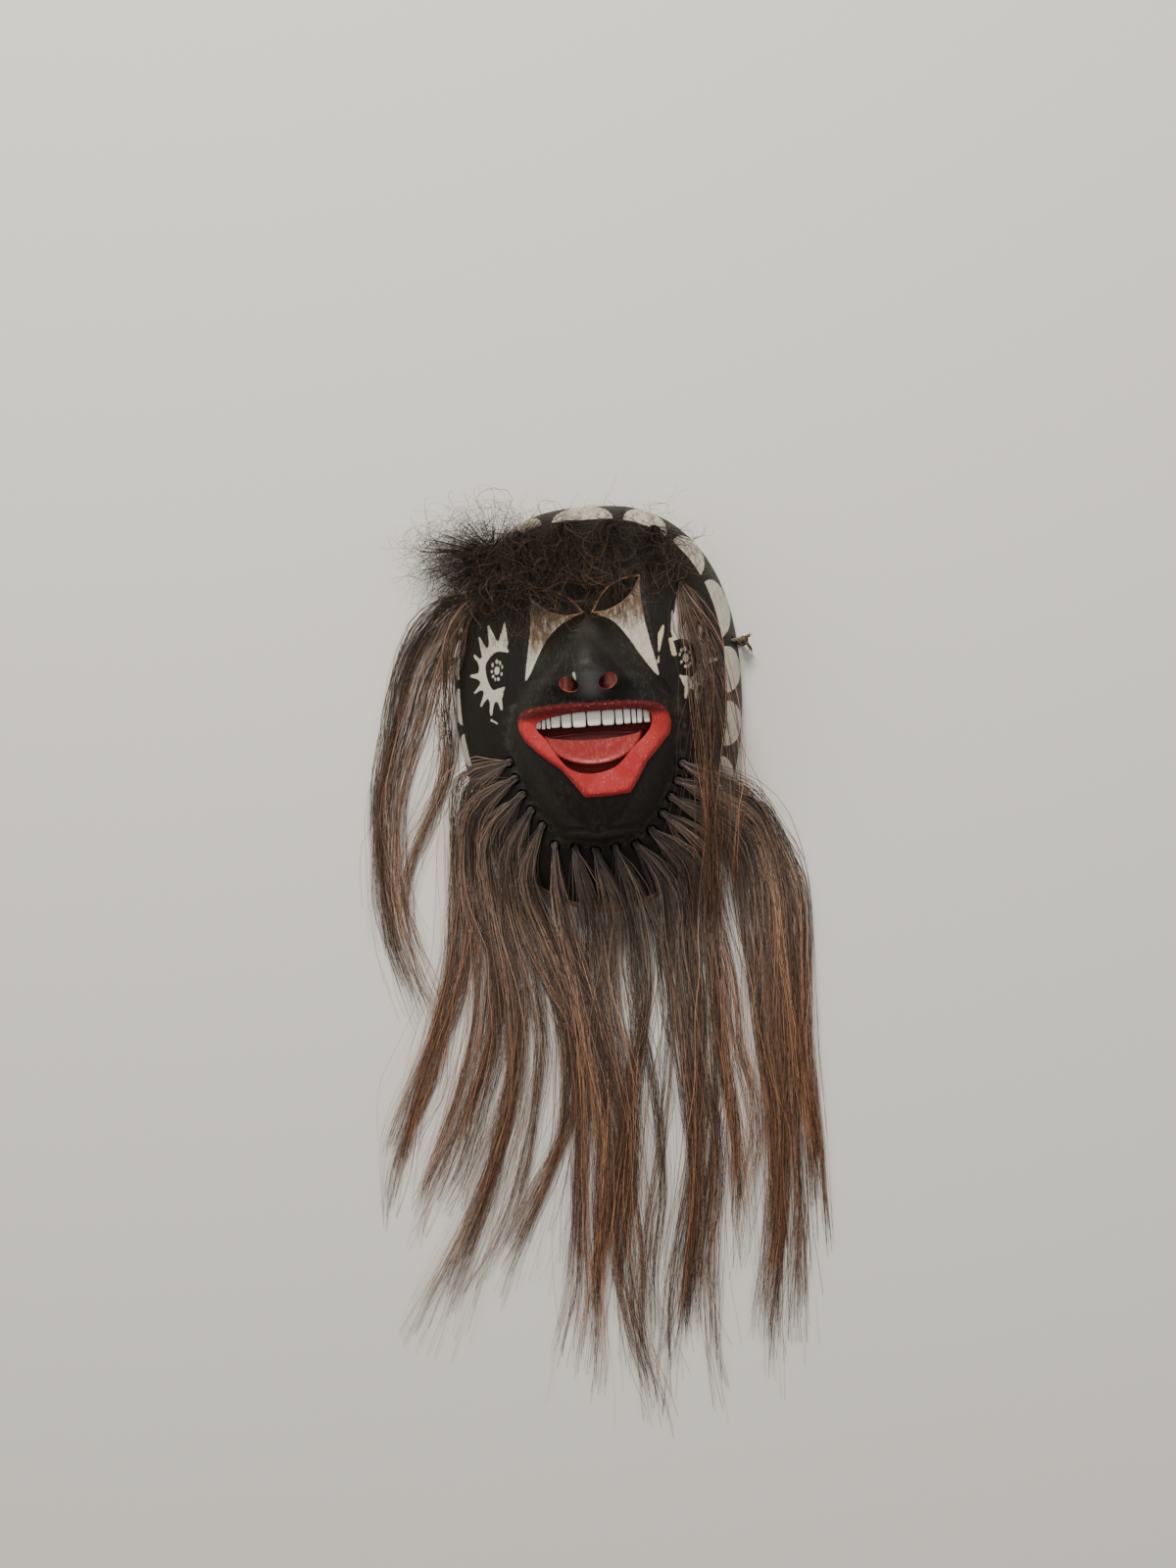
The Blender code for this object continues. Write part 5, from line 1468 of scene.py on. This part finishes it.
def inside_box(hairs):
    """Keeps every hair within the space that the solids take, with a little to spare."""
    low = np.array(cad_box[0]) - RIM_MIDDLE + LOW_SPARE
    high = np.array(cad_box[1]) - RIM_MIDDLE + HIGH_SPARE
    soft = hairs.copy()
    for k in range(2):
        over = np.maximum(hairs[..., k] - (high[k] - TURN_START), 0)
        soft[..., k] -= over - TURN_START * np.tanh(over / (2 * TURN_START))
        below = np.maximum(low[k] + TURN_START - hairs[..., k], 0)
        soft[..., k] += below - TURN_START * np.tanh(below / (2 * TURN_START))
    soft[..., 2] = np.clip(hairs[..., 2], low[2], high[2])
    return soft


def waves(rng, count, at, cycles, sizes):
    """A slow random waver for each hair, in metres, growing from its root.

    Each wave has about this many cycles along the hair and about this size.
    """
    total = np.zeros((count, len(at[0])))
    for base, size in zip(cycles, sizes):
        turns = base * rng.uniform(0.6, 1.5, (count, 1))
        phase = rng.uniform(0, 2 * math.pi, (count, 1))
        total += size * rng.normal(0, 1, (count, 1)) * (
            np.sin(2 * math.pi * turns * at + phase) - np.sin(phase)
        )
    return total


def socket_bunch(rng, root, toward, count):
    """Where each hair of a tuft stands in its socket: two points of it, and its place in the bunch."""
    spot, way = np.array(socket_spot(*root)), np.array(outward(*root))
    ahead = np.array([*(toward / np.linalg.norm(toward)), 0.0])
    ahead -= way * ahead.dot(way)
    ahead /= np.linalg.norm(ahead)
    aside = np.cross(way, ahead)
    angle = rng.uniform(0, 2 * math.pi, (count, 1))
    out = np.sqrt(rng.random((count, 1)))
    forward, sideways = out * np.cos(angle), out * np.sin(angle)
    reach = BUNCH * SOCKET_DIAMETER / 2
    mouth = spot + reach * (forward * ahead + sideways * aside)
    return mouth - way * HAIR_SET_DEEP, mouth + way * HAIR_STANDS_UP, forward, sideways


def part_hairs(rng, sideways, locks):
    """The lock and the strand that each hair joins, its places along them and its share aside.

    A hair starts in the fan where its strand is, and is then drawn in to its lock.
    """
    count = len(sideways)
    strands = locks * STRANDS_A_LOCK
    order = np.argsort(np.argsort(sideways[:, 0] + rng.normal(0, 0.3, count))) / count
    lock = (order * locks).astype(int)
    strand = (order * locks * STRANDS_A_LOCK).astype(int)
    lock_middle = rng.uniform(-0.2, 0.2, locks) / locks + (np.arange(locks) + 0.5) / locks * 2 - 1
    strand_middle = np.sort(rng.uniform(-1, 1, strands))
    ends = rng.uniform(0.84, 1.03, locks)[lock] * rng.uniform(0.88, 1.02, strands)[strand]
    ends *= 1 - np.abs(rng.normal(0, 0.09, count))
    at = np.linspace(0.015, 1, HAIR_POINTS - 2) ** 1.12 * np.clip(ends, 0.35, 1)[:, None]
    parted = np.interp(at, *PARTED_ALONG)
    fan = strand_middle[strand][:, None] * (1 - parted) + lock_middle[lock][:, None] * 0.8 * parted
    return lock, strand, at, fan


def lay_lock(rng, root, path, count, widths, thickness, locks, drift, tame, under=None):
    """Long hairs from one socket: they leave it in a fan, gather in thin strands and thin out.

    The path is in millimetres. The tips drift aside by about the drift, and stray hairs on the
    tame side, -1 or 1, stay closer in.
    """
    plan = plan_curve([root, *((x * MM, y * MM) for x, y in path)], LOCK_STEPS)
    places = np.linspace(0, 1, LOCK_STEPS)
    half = np.interp(places, WIDTH_STOPS, widths) * MM
    thick = thickness * np.interp(places, *THICKNESS_ALONG)
    start = socket_spot(*root).z + HAIR_LIFT
    heights, aside = resting_curve(plan, half, thick, start, under)
    deep, mouth, forward, sideways = socket_bunch(rng, root, plan[3] - plan[0], count)

    lock, strand, at, fan = part_hairs(rng, sideways, locks)
    strands = locks * STRANDS_A_LOCK
    loose = rng.random((count, 1)) < LOOSE_HAIRS

    def along(values):
        return np.interp(at, places, values)

    def of(group, values):
        return np.stack([np.interp(at[k], places, values[group[k]]) for k in range(count)])

    inner = rng.normal(0, 0.12, strands)[strand][:, None]
    inner = inner + rng.normal(0, 1, (count, 1)) * np.where(loose, 0.42, 0.07)
    lateral = along(half) * (fan + inner * np.interp(at, *SPREAD_ALONG))
    steady = np.tile(places, (strands, 1))
    lateral += of(lock, waves(rng, locks, steady[:locks], *LOCK_WAVES))
    lateral += of(strand, waves(rng, strands, steady, *STRAND_WAVES))
    lateral += waves(rng, count, at, *HAIR_WAVES)
    turn_out = np.clip(at - 0.55, 0, 1) ** 2 / 0.2
    lateral += turn_out * (drift + rng.normal(0, 0.0045, locks)[lock][:, None]
                           + rng.normal(0, 0.0035, (count, 1)))
    flying = (rng.random((count, 1)) < FLYING_HAIRS) * rng.normal(0, 1, (count, 1))
    flying = np.where(flying * tame > 0, 0.35 * flying, flying)
    lateral += flying * at**1.2 * rng.uniform(0.008, 0.03, (count, 1))

    lift = -forward + rng.normal(0, 0.35, (count, 1))
    lift = lift + of(strand, waves(rng, strands, steady, (1.3,), (0.5,)))
    x = along(plan[:, 0]) + lateral * along(aside[:, 0])
    y = along(plan[:, 1]) + lateral * along(aside[:, 1])
    z = along(heights) + lift.clip(-1.1, 1.1) * along(thick) / 2
    z += np.abs(flying) * 0.004 * np.sin(at * 3) ** 2
    ground = wood_under(x, y)
    floor = ground + np.where(ground > 0, HAIR_CLEARANCE, 0.0003)
    z = np.maximum(z, floor)
    z[:, 1:-1] = (z[:, :-2] + 2 * z[:, 1:-1] + z[:, 2:]) / 4
    z = np.maximum(z, floor)
    hairs = np.concatenate([deep[:, None], mouth[:, None], np.stack([x, y, z], axis=2)], axis=1)
    tone = 0.6 * rng.random(strands)[strand] + 0.4 * rng.random(count)
    return inside_box(hairs), tone


def hair_radii(rng, count, radius):
    """The half thickness of each hair, some finer and some coarser."""
    return radius * rng.uniform(0.55, 1.35, count)


def make_beard(finish):
    """Fifteen tufts of long hair along the jaw; gives the places of all the hair's points."""
    rng = np.random.default_rng(7)
    last = BEARD_TUFTS - 1
    tops = []
    for k, path in enumerate(BEARD_PATHS):
        side = abs(k - last / 2) / (last / 2)
        widths = (1 - side) * np.array(CHIN_TUFT) + side * np.array(SIDE_TUFT)
        count = round(CHIN_HAIRS + MORE_HAIRS_ASIDE * min(1.0, side * 1.2))
        drift = -0.010 * max(0.0, 1 - k / 5)
        tame = -1 if k < 3 else 1 if k > last - 3 else 0
        hairs, tone = lay_lock(rng, beard_socket(k), path, count, widths, thickness=0.0042,
                               locks=3 + (k + 1) % 2, drift=drift, tame=tame)
        hair_mesh(f"beard_hair_{k + 1:02d}", f"beard_tuft_{k + 1:02d}", hairs,
                  hair_radii(rng, count, HAIR_RADIUS), tone, finish, "horsehair")
        tops.append(hairs[:, 2:].reshape(-1, 3))
    return np.vstack(tops)


def top_of(points):
    """A function that gives the height of the highest of these points near a place."""
    tallest = {}
    for key, z in zip(map(tuple, np.floor(points[:, :2] / CELL).astype(int)), points[:, 2]):
        tallest[key] = max(tallest.get(key, 0.0), z)

    def height(x, y):
        keys = zip(np.floor(x / CELL).astype(int), np.floor(y / CELL).astype(int))
        return np.array([tallest.get(key, 0.0) for key in keys])

    return height


def make_side_locks(finish, beard_points):
    """The long lock at each temple, with a thin branch that parts from the left one."""
    rng = np.random.default_rng(19)
    left_root, right_root = on_face(*LEFT_LOCK_ROOT), on_face(*RIGHT_LOCK_ROOT)
    left, left_tone = lay_lock(rng, left_root, LEFT_LOCK_PATH, 150, LEFT_LOCK_WIDTHS,
                               thickness=0.005, locks=5, drift=0.004, tame=-1)
    branch, branch_tone = lay_lock(rng, left_root, LEFT_BRANCH_PATH, 55, LEFT_BRANCH_WIDTHS,
                                   thickness=0.003, locks=3, drift=-0.002, tame=1)
    right, right_tone = lay_lock(rng, right_root, RIGHT_LOCK_PATH, 105, RIGHT_LOCK_WIDTHS,
                                 thickness=0.0034, locks=4, drift=0.0, tame=0,
                                 under=top_of(beard_points))
    left = np.concatenate([left, branch])
    left_tone = np.concatenate([left_tone, branch_tone])
    for side, hairs, tone in (("left", left, left_tone), ("right", right, right_tone)):
        hair_mesh(f"side_hair_{side}", f"forelock_{side}", hairs,
                  hair_radii(rng, len(hairs), HAIR_RADIUS), tone, finish, "horsehair")


def frizz_ground(x, y):
    """The height that short hair stands on: the wood, and level with it past the rim."""
    share = rim_share(x, y)
    inward = np.minimum(1, FRIZZ_RIM / share)
    near_x, near_y = x * inward, WIDEST_LEVEL + (y - WIDEST_LEVEL) * inward
    past = np.hypot(x - near_x, y - near_y)
    return face_height(near_x, near_y) - 0.35 * past


def make_brow_hair(finish):
    """Short frizzy hair that stands off the forehead in every direction."""
    rng = np.random.default_rng(23)
    for k, (shares, (count, across, behind, height)) in enumerate(zip(BROW_TUFTS, FRIZZ)):
        plan = plan_curve([on_face(*share) for share in shares], FRIZZ_ROW)
        deep, mouth, _, _ = socket_bunch(rng, plan[0], plan[3] - plan[0], count)
        ways = np.gradient(plan, axis=0)
        ways /= np.linalg.norm(ways, axis=1, keepdims=True)
        index = (rng.random(count) ** 0.9 * (FRIZZ_ROW - 1)).astype(int)
        main = ways[index]
        normal = np.stack([-main[:, 1], main[:, 0]], axis=1)
        anchor = plan[index] + normal * rng.normal(0, across * MM, (count, 1))
        anchor += main * rng.normal(0, 0.005, (count, 1))
        start_way = (ways[0] + (-0.3, 0.0)) * (rng.random((count, 1)) < 0.35)
        anchor -= start_way * rng.random((count, 1)) * behind * MM
        heading = np.arctan2(main[:, 1], main[:, 0]) + rng.normal(0, 0.8, count)
        heading += np.where(rng.random(count) < 0.2, math.pi, 0)
        steps = FRIZZ_POINTS - 4
        run = (rng.uniform(0.010, 0.028, count) / steps)[:, None]
        bend = rng.normal(0, 0.25, (count, 1)) + rng.normal(0, 0.36, (count, steps))
        turned = heading[:, None] + np.cumsum(bend, axis=1)
        x = np.cumsum(np.hstack([anchor[:, :1], run * np.cos(turned)]), axis=1)
        y = np.cumsum(np.hstack([anchor[:, 1:], run * np.sin(turned)]), axis=1)
        stand = rng.uniform(0.03, 1.0, (count, 1)) ** 1.3 * height * MM
        stand = stand * (1 + 0.35 * np.cumsum(rng.normal(0, 0.4, (count, steps + 1)), axis=1))
        z = frizz_ground(x, y) + np.clip(stand, 0.0005, 1.5 * height * MM)
        z[:, 1:-1] = (z[:, :-2] + z[:, 1:-1] + z[:, 2:]) / 3
        z = np.maximum(z, wood_under(x, y) + HAIR_CLEARANCE)
        first = np.stack([x[:, 0], y[:, 0], z[:, 0]], axis=1)
        bridge = 0.45 * mouth + 0.55 * first
        lift = wood_under(bridge[:, 0], bridge[:, 1]) + 0.001
        bridge[:, 2] = np.maximum(bridge[:, 2] + 0.001, lift)
        hairs = np.concatenate([
            deep[:, None], mouth[:, None], bridge[:, None], np.stack([x, y, z], axis=2)
        ], axis=1)
        hair_mesh(f"brow_hair_{k + 1}", f"brow_tuft_{k + 1}", inside_box(hairs),
                  hair_radii(rng, count, FRIZZ_RADIUS), rng.random(count), finish, "frizzy_hair")


# The ties


def square_to(line):
    """Two directions square to a line at each of its points, and to each other."""
    ways = unit(np.gradient(line, axis=0))
    aside = unit(np.cross(ways, OFF_ALL_CORDS))
    return aside, np.cross(ways, aside)


def tube(points, radius, sides=7):
    """Rings of a round strand through these points."""
    aside, up = square_to(points)
    turn = np.linspace(0, 2 * math.pi, sides, endpoint=False)
    return [
        point + radius * (np.cos(turn)[:, None] * aside[k] + np.sin(turn)[:, None] * up[k])
        for k, point in enumerate(points)
    ]


def twisted(points, ply_radius, pitch):
    """The two plies of a twisted cord along a line of points."""
    points = np.asarray(points)
    run = np.concatenate([[0], np.cumsum(np.linalg.norm(np.diff(points, axis=0), axis=1))])
    fine = np.linspace(0, run[-1], max(8, int(run[-1] / CORD_STEP)))
    line = np.stack([np.interp(fine, run, points[:, k]) for k in range(3)], axis=1)
    aside, up = square_to(line)
    plies = []
    for k in range(2):
        turn = 2 * math.pi * (k / 2 + fine / pitch)
        offset = np.cos(turn)[:, None] * aside + np.sin(turn)[:, None] * up
        plies.append(closed_rings(tube(line + offset * ply_radius * 0.95, ply_radius)))
    return plies


def tie_ring(side, inside, outside, radius):
    """The line of a tie's cord through its hole and round under the rim, with rounded corners."""
    bottom, top = radius + FIT_GAP, TIE_HOLE_HEIGHT
    corner = radius * 1.6
    line = []
    for x, z, start in (
        (outside - corner, bottom + corner, -90), (outside - corner, top - corner, 0),
        (inside + corner, top - corner, 90), (inside + corner, bottom + corner, 180),
    ):
        for k in range(5):
            turn = math.radians(start + 22.5 * k)
            line.append((side * (x + corner * math.cos(turn)), TIE_LEVEL, z + corner * math.sin(turn)))
    return line + [line[0]]


def make_tie(name, side, finish):
    """A twisted cord through the hole and round the rim, wound into a knot with two frayed ends."""
    rng = np.random.default_rng(5)
    radius = TIE_DIAMETER / 2
    low, high = (np.array(corner) - RIM_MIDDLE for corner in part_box(name))
    outside = HALF_WIDTH + radius + FIT_GAP
    inside = min(abs(low[0]), abs(high[0])) + radius
    ply = radius * 0.5
    strands = twisted(tie_ring(side, inside, outside, radius), ply, RING_PITCH)
    knot = np.array([side * (outside + 0.0002), TIE_LEVEL, TIE_HOLE_HEIGHT / 2])
    turn = np.linspace(0, 2 * math.pi * KNOT_TURNS, 60)
    rise = np.linspace(-KNOT_HALF_HEIGHT, KNOT_HALF_HEIGHT, 60)
    coil = np.stack([KNOT_RADIUS * np.cos(turn), KNOT_RADIUS * np.sin(turn), rise], axis=1)
    strands += twisted(knot + coil, ply * 0.8, KNOT_PITCH)
    for out, splay, climb in TIE_ENDS:
        way = np.array([side * out, splay, climb])
        at = np.linspace(0.1, 1, 10)[:, None]
        bend = np.stack([np.zeros(10), 0.0006 * np.sin(at[:, 0] * 4), -0.0008 * at[:, 0] ** 2], axis=1)
        strands += twisted(knot + way * 0.0068 * at + bend, ply * 0.85, KNOT_PITCH)
        tip = knot + way * 0.0066 + bend[-1]
        for _ in range(FRAYED_FIBRES):
            stray = tip + np.outer(np.linspace(0, 1, 5), way * 0.0012 + rng.normal(0, 0.0007, 3))
            strands.append(closed_rings(tube(stray, FIBRE_RADIUS, 3)))
    piece(f"cord_{name}", *joined(strands), finish, "twine", (name,))


# The room: floor, light and camera


def make_floor():
    """The pale surface that the mask lies on."""
    mesh = bpy.data.meshes.new("floor")
    corners = [(-1, -1), (1, -1), (1, 1), (-1, 1)]
    mesh.from_pydata([(x * FLOOR_REACH, y * FLOOR_REACH, 0) for x, y in corners], [], [(0, 1, 2, 3)])
    finish, sheet, shader = new_finish("pale floor")
    sheet.feed(shader.inputs["Base Color"], FLOOR_COLOUR)
    sheet.feed(shader.inputs["Roughness"], 0.9)
    mesh.materials.append(finish)
    obj = add_object("floor", mesh)


def make_light(name, place, aim, size, power, colour):
    """A round lamp that shines from its place at its aim."""
    light = bpy.data.lights.new(name, "AREA")
    light.shape = "DISK"
    light.size = size
    light.energy = power
    light.color = colour
    obj = add_object(name, light)
    obj.location = place
    obj.rotation_euler = (Vector(aim) - Vector(place)).to_track_quat("-Z", "Y").to_euler()


def make_room():
    """The floor, three lamps and a pale sky."""
    make_floor()
    for lamp in LAMPS:
        make_light(*lamp)
    world = bpy.data.worlds.new("studio")
    world.use_nodes = True
    sky = world.node_tree.nodes["Background"]
    sky.inputs["Color"].default_value = (*SKY_COLOUR, 1.0)
    sky.inputs["Strength"].default_value = SKY_STRENGTH
    bpy.context.scene.world = world


def make_camera():
    """The photograph's view: from the front of the face, a little to its right, slightly turned."""
    aim = np.array(CAMERA_AIM) * MM + RIM_MIDDLE
    aside, lean = math.radians(CAMERA_ASIDE), math.radians(CAMERA_LEAN)
    place = aim + CAMERA_DISTANCE * np.array([math.sin(aside), 0, math.cos(aside)])
    ahead = Vector(aim - place).normalized()
    right = ahead.cross(Vector((0, 1, 0))).normalized()
    up = right.cross(ahead)
    turned_right = right * math.cos(lean) - up * math.sin(lean)
    turned_up = right * math.sin(lean) + up * math.cos(lean)
    camera = bpy.data.cameras.new("camera")
    camera.sensor_fit = "VERTICAL"
    camera.sensor_height = 36
    camera.lens = CAMERA_LENS
    camera.clip_start = 0.01
    obj = add_object("camera", camera)
    turn = Matrix((turned_right, turned_up, -ahead)).transposed()
    obj.matrix_world = Matrix.Translation(Vector(place)) @ turn.to_4x4()
    bpy.context.scene.camera = obj


make_camera()
make_room()

brushed_paint = brushed_paint_group()
ragged_edge = ragged_edge_group()
wood_grain = wood_grain_group()
make_mask(painted_mask_finish(brushed_paint, ragged_edge, wood_grain))
make_teeth(tooth_finish(brushed_paint))
make_tongue(tongue_finish(brushed_paint, ragged_edge))

hair_tone = hair_tone_group()
horsehair = hair_finish("horsehair", hair_tone, BEARD_COLOURS, 0.75, 0.2)
side_hair = hair_finish("side hair", hair_tone, SIDE_HAIR_COLOURS, 0.65, 0.24)
frizzy_hair = hair_finish("frizzy hair", hair_tone, FRIZZ_COLOURS, 0.22, 0.42)
beard_points = make_beard(horsehair)
make_side_locks(side_hair, beard_points)
make_brow_hair(frizzy_hair)
twine = twine_finish(wood_grain)
make_tie("tie_left", -1, twine)
make_tie("tie_right", 1, twine)
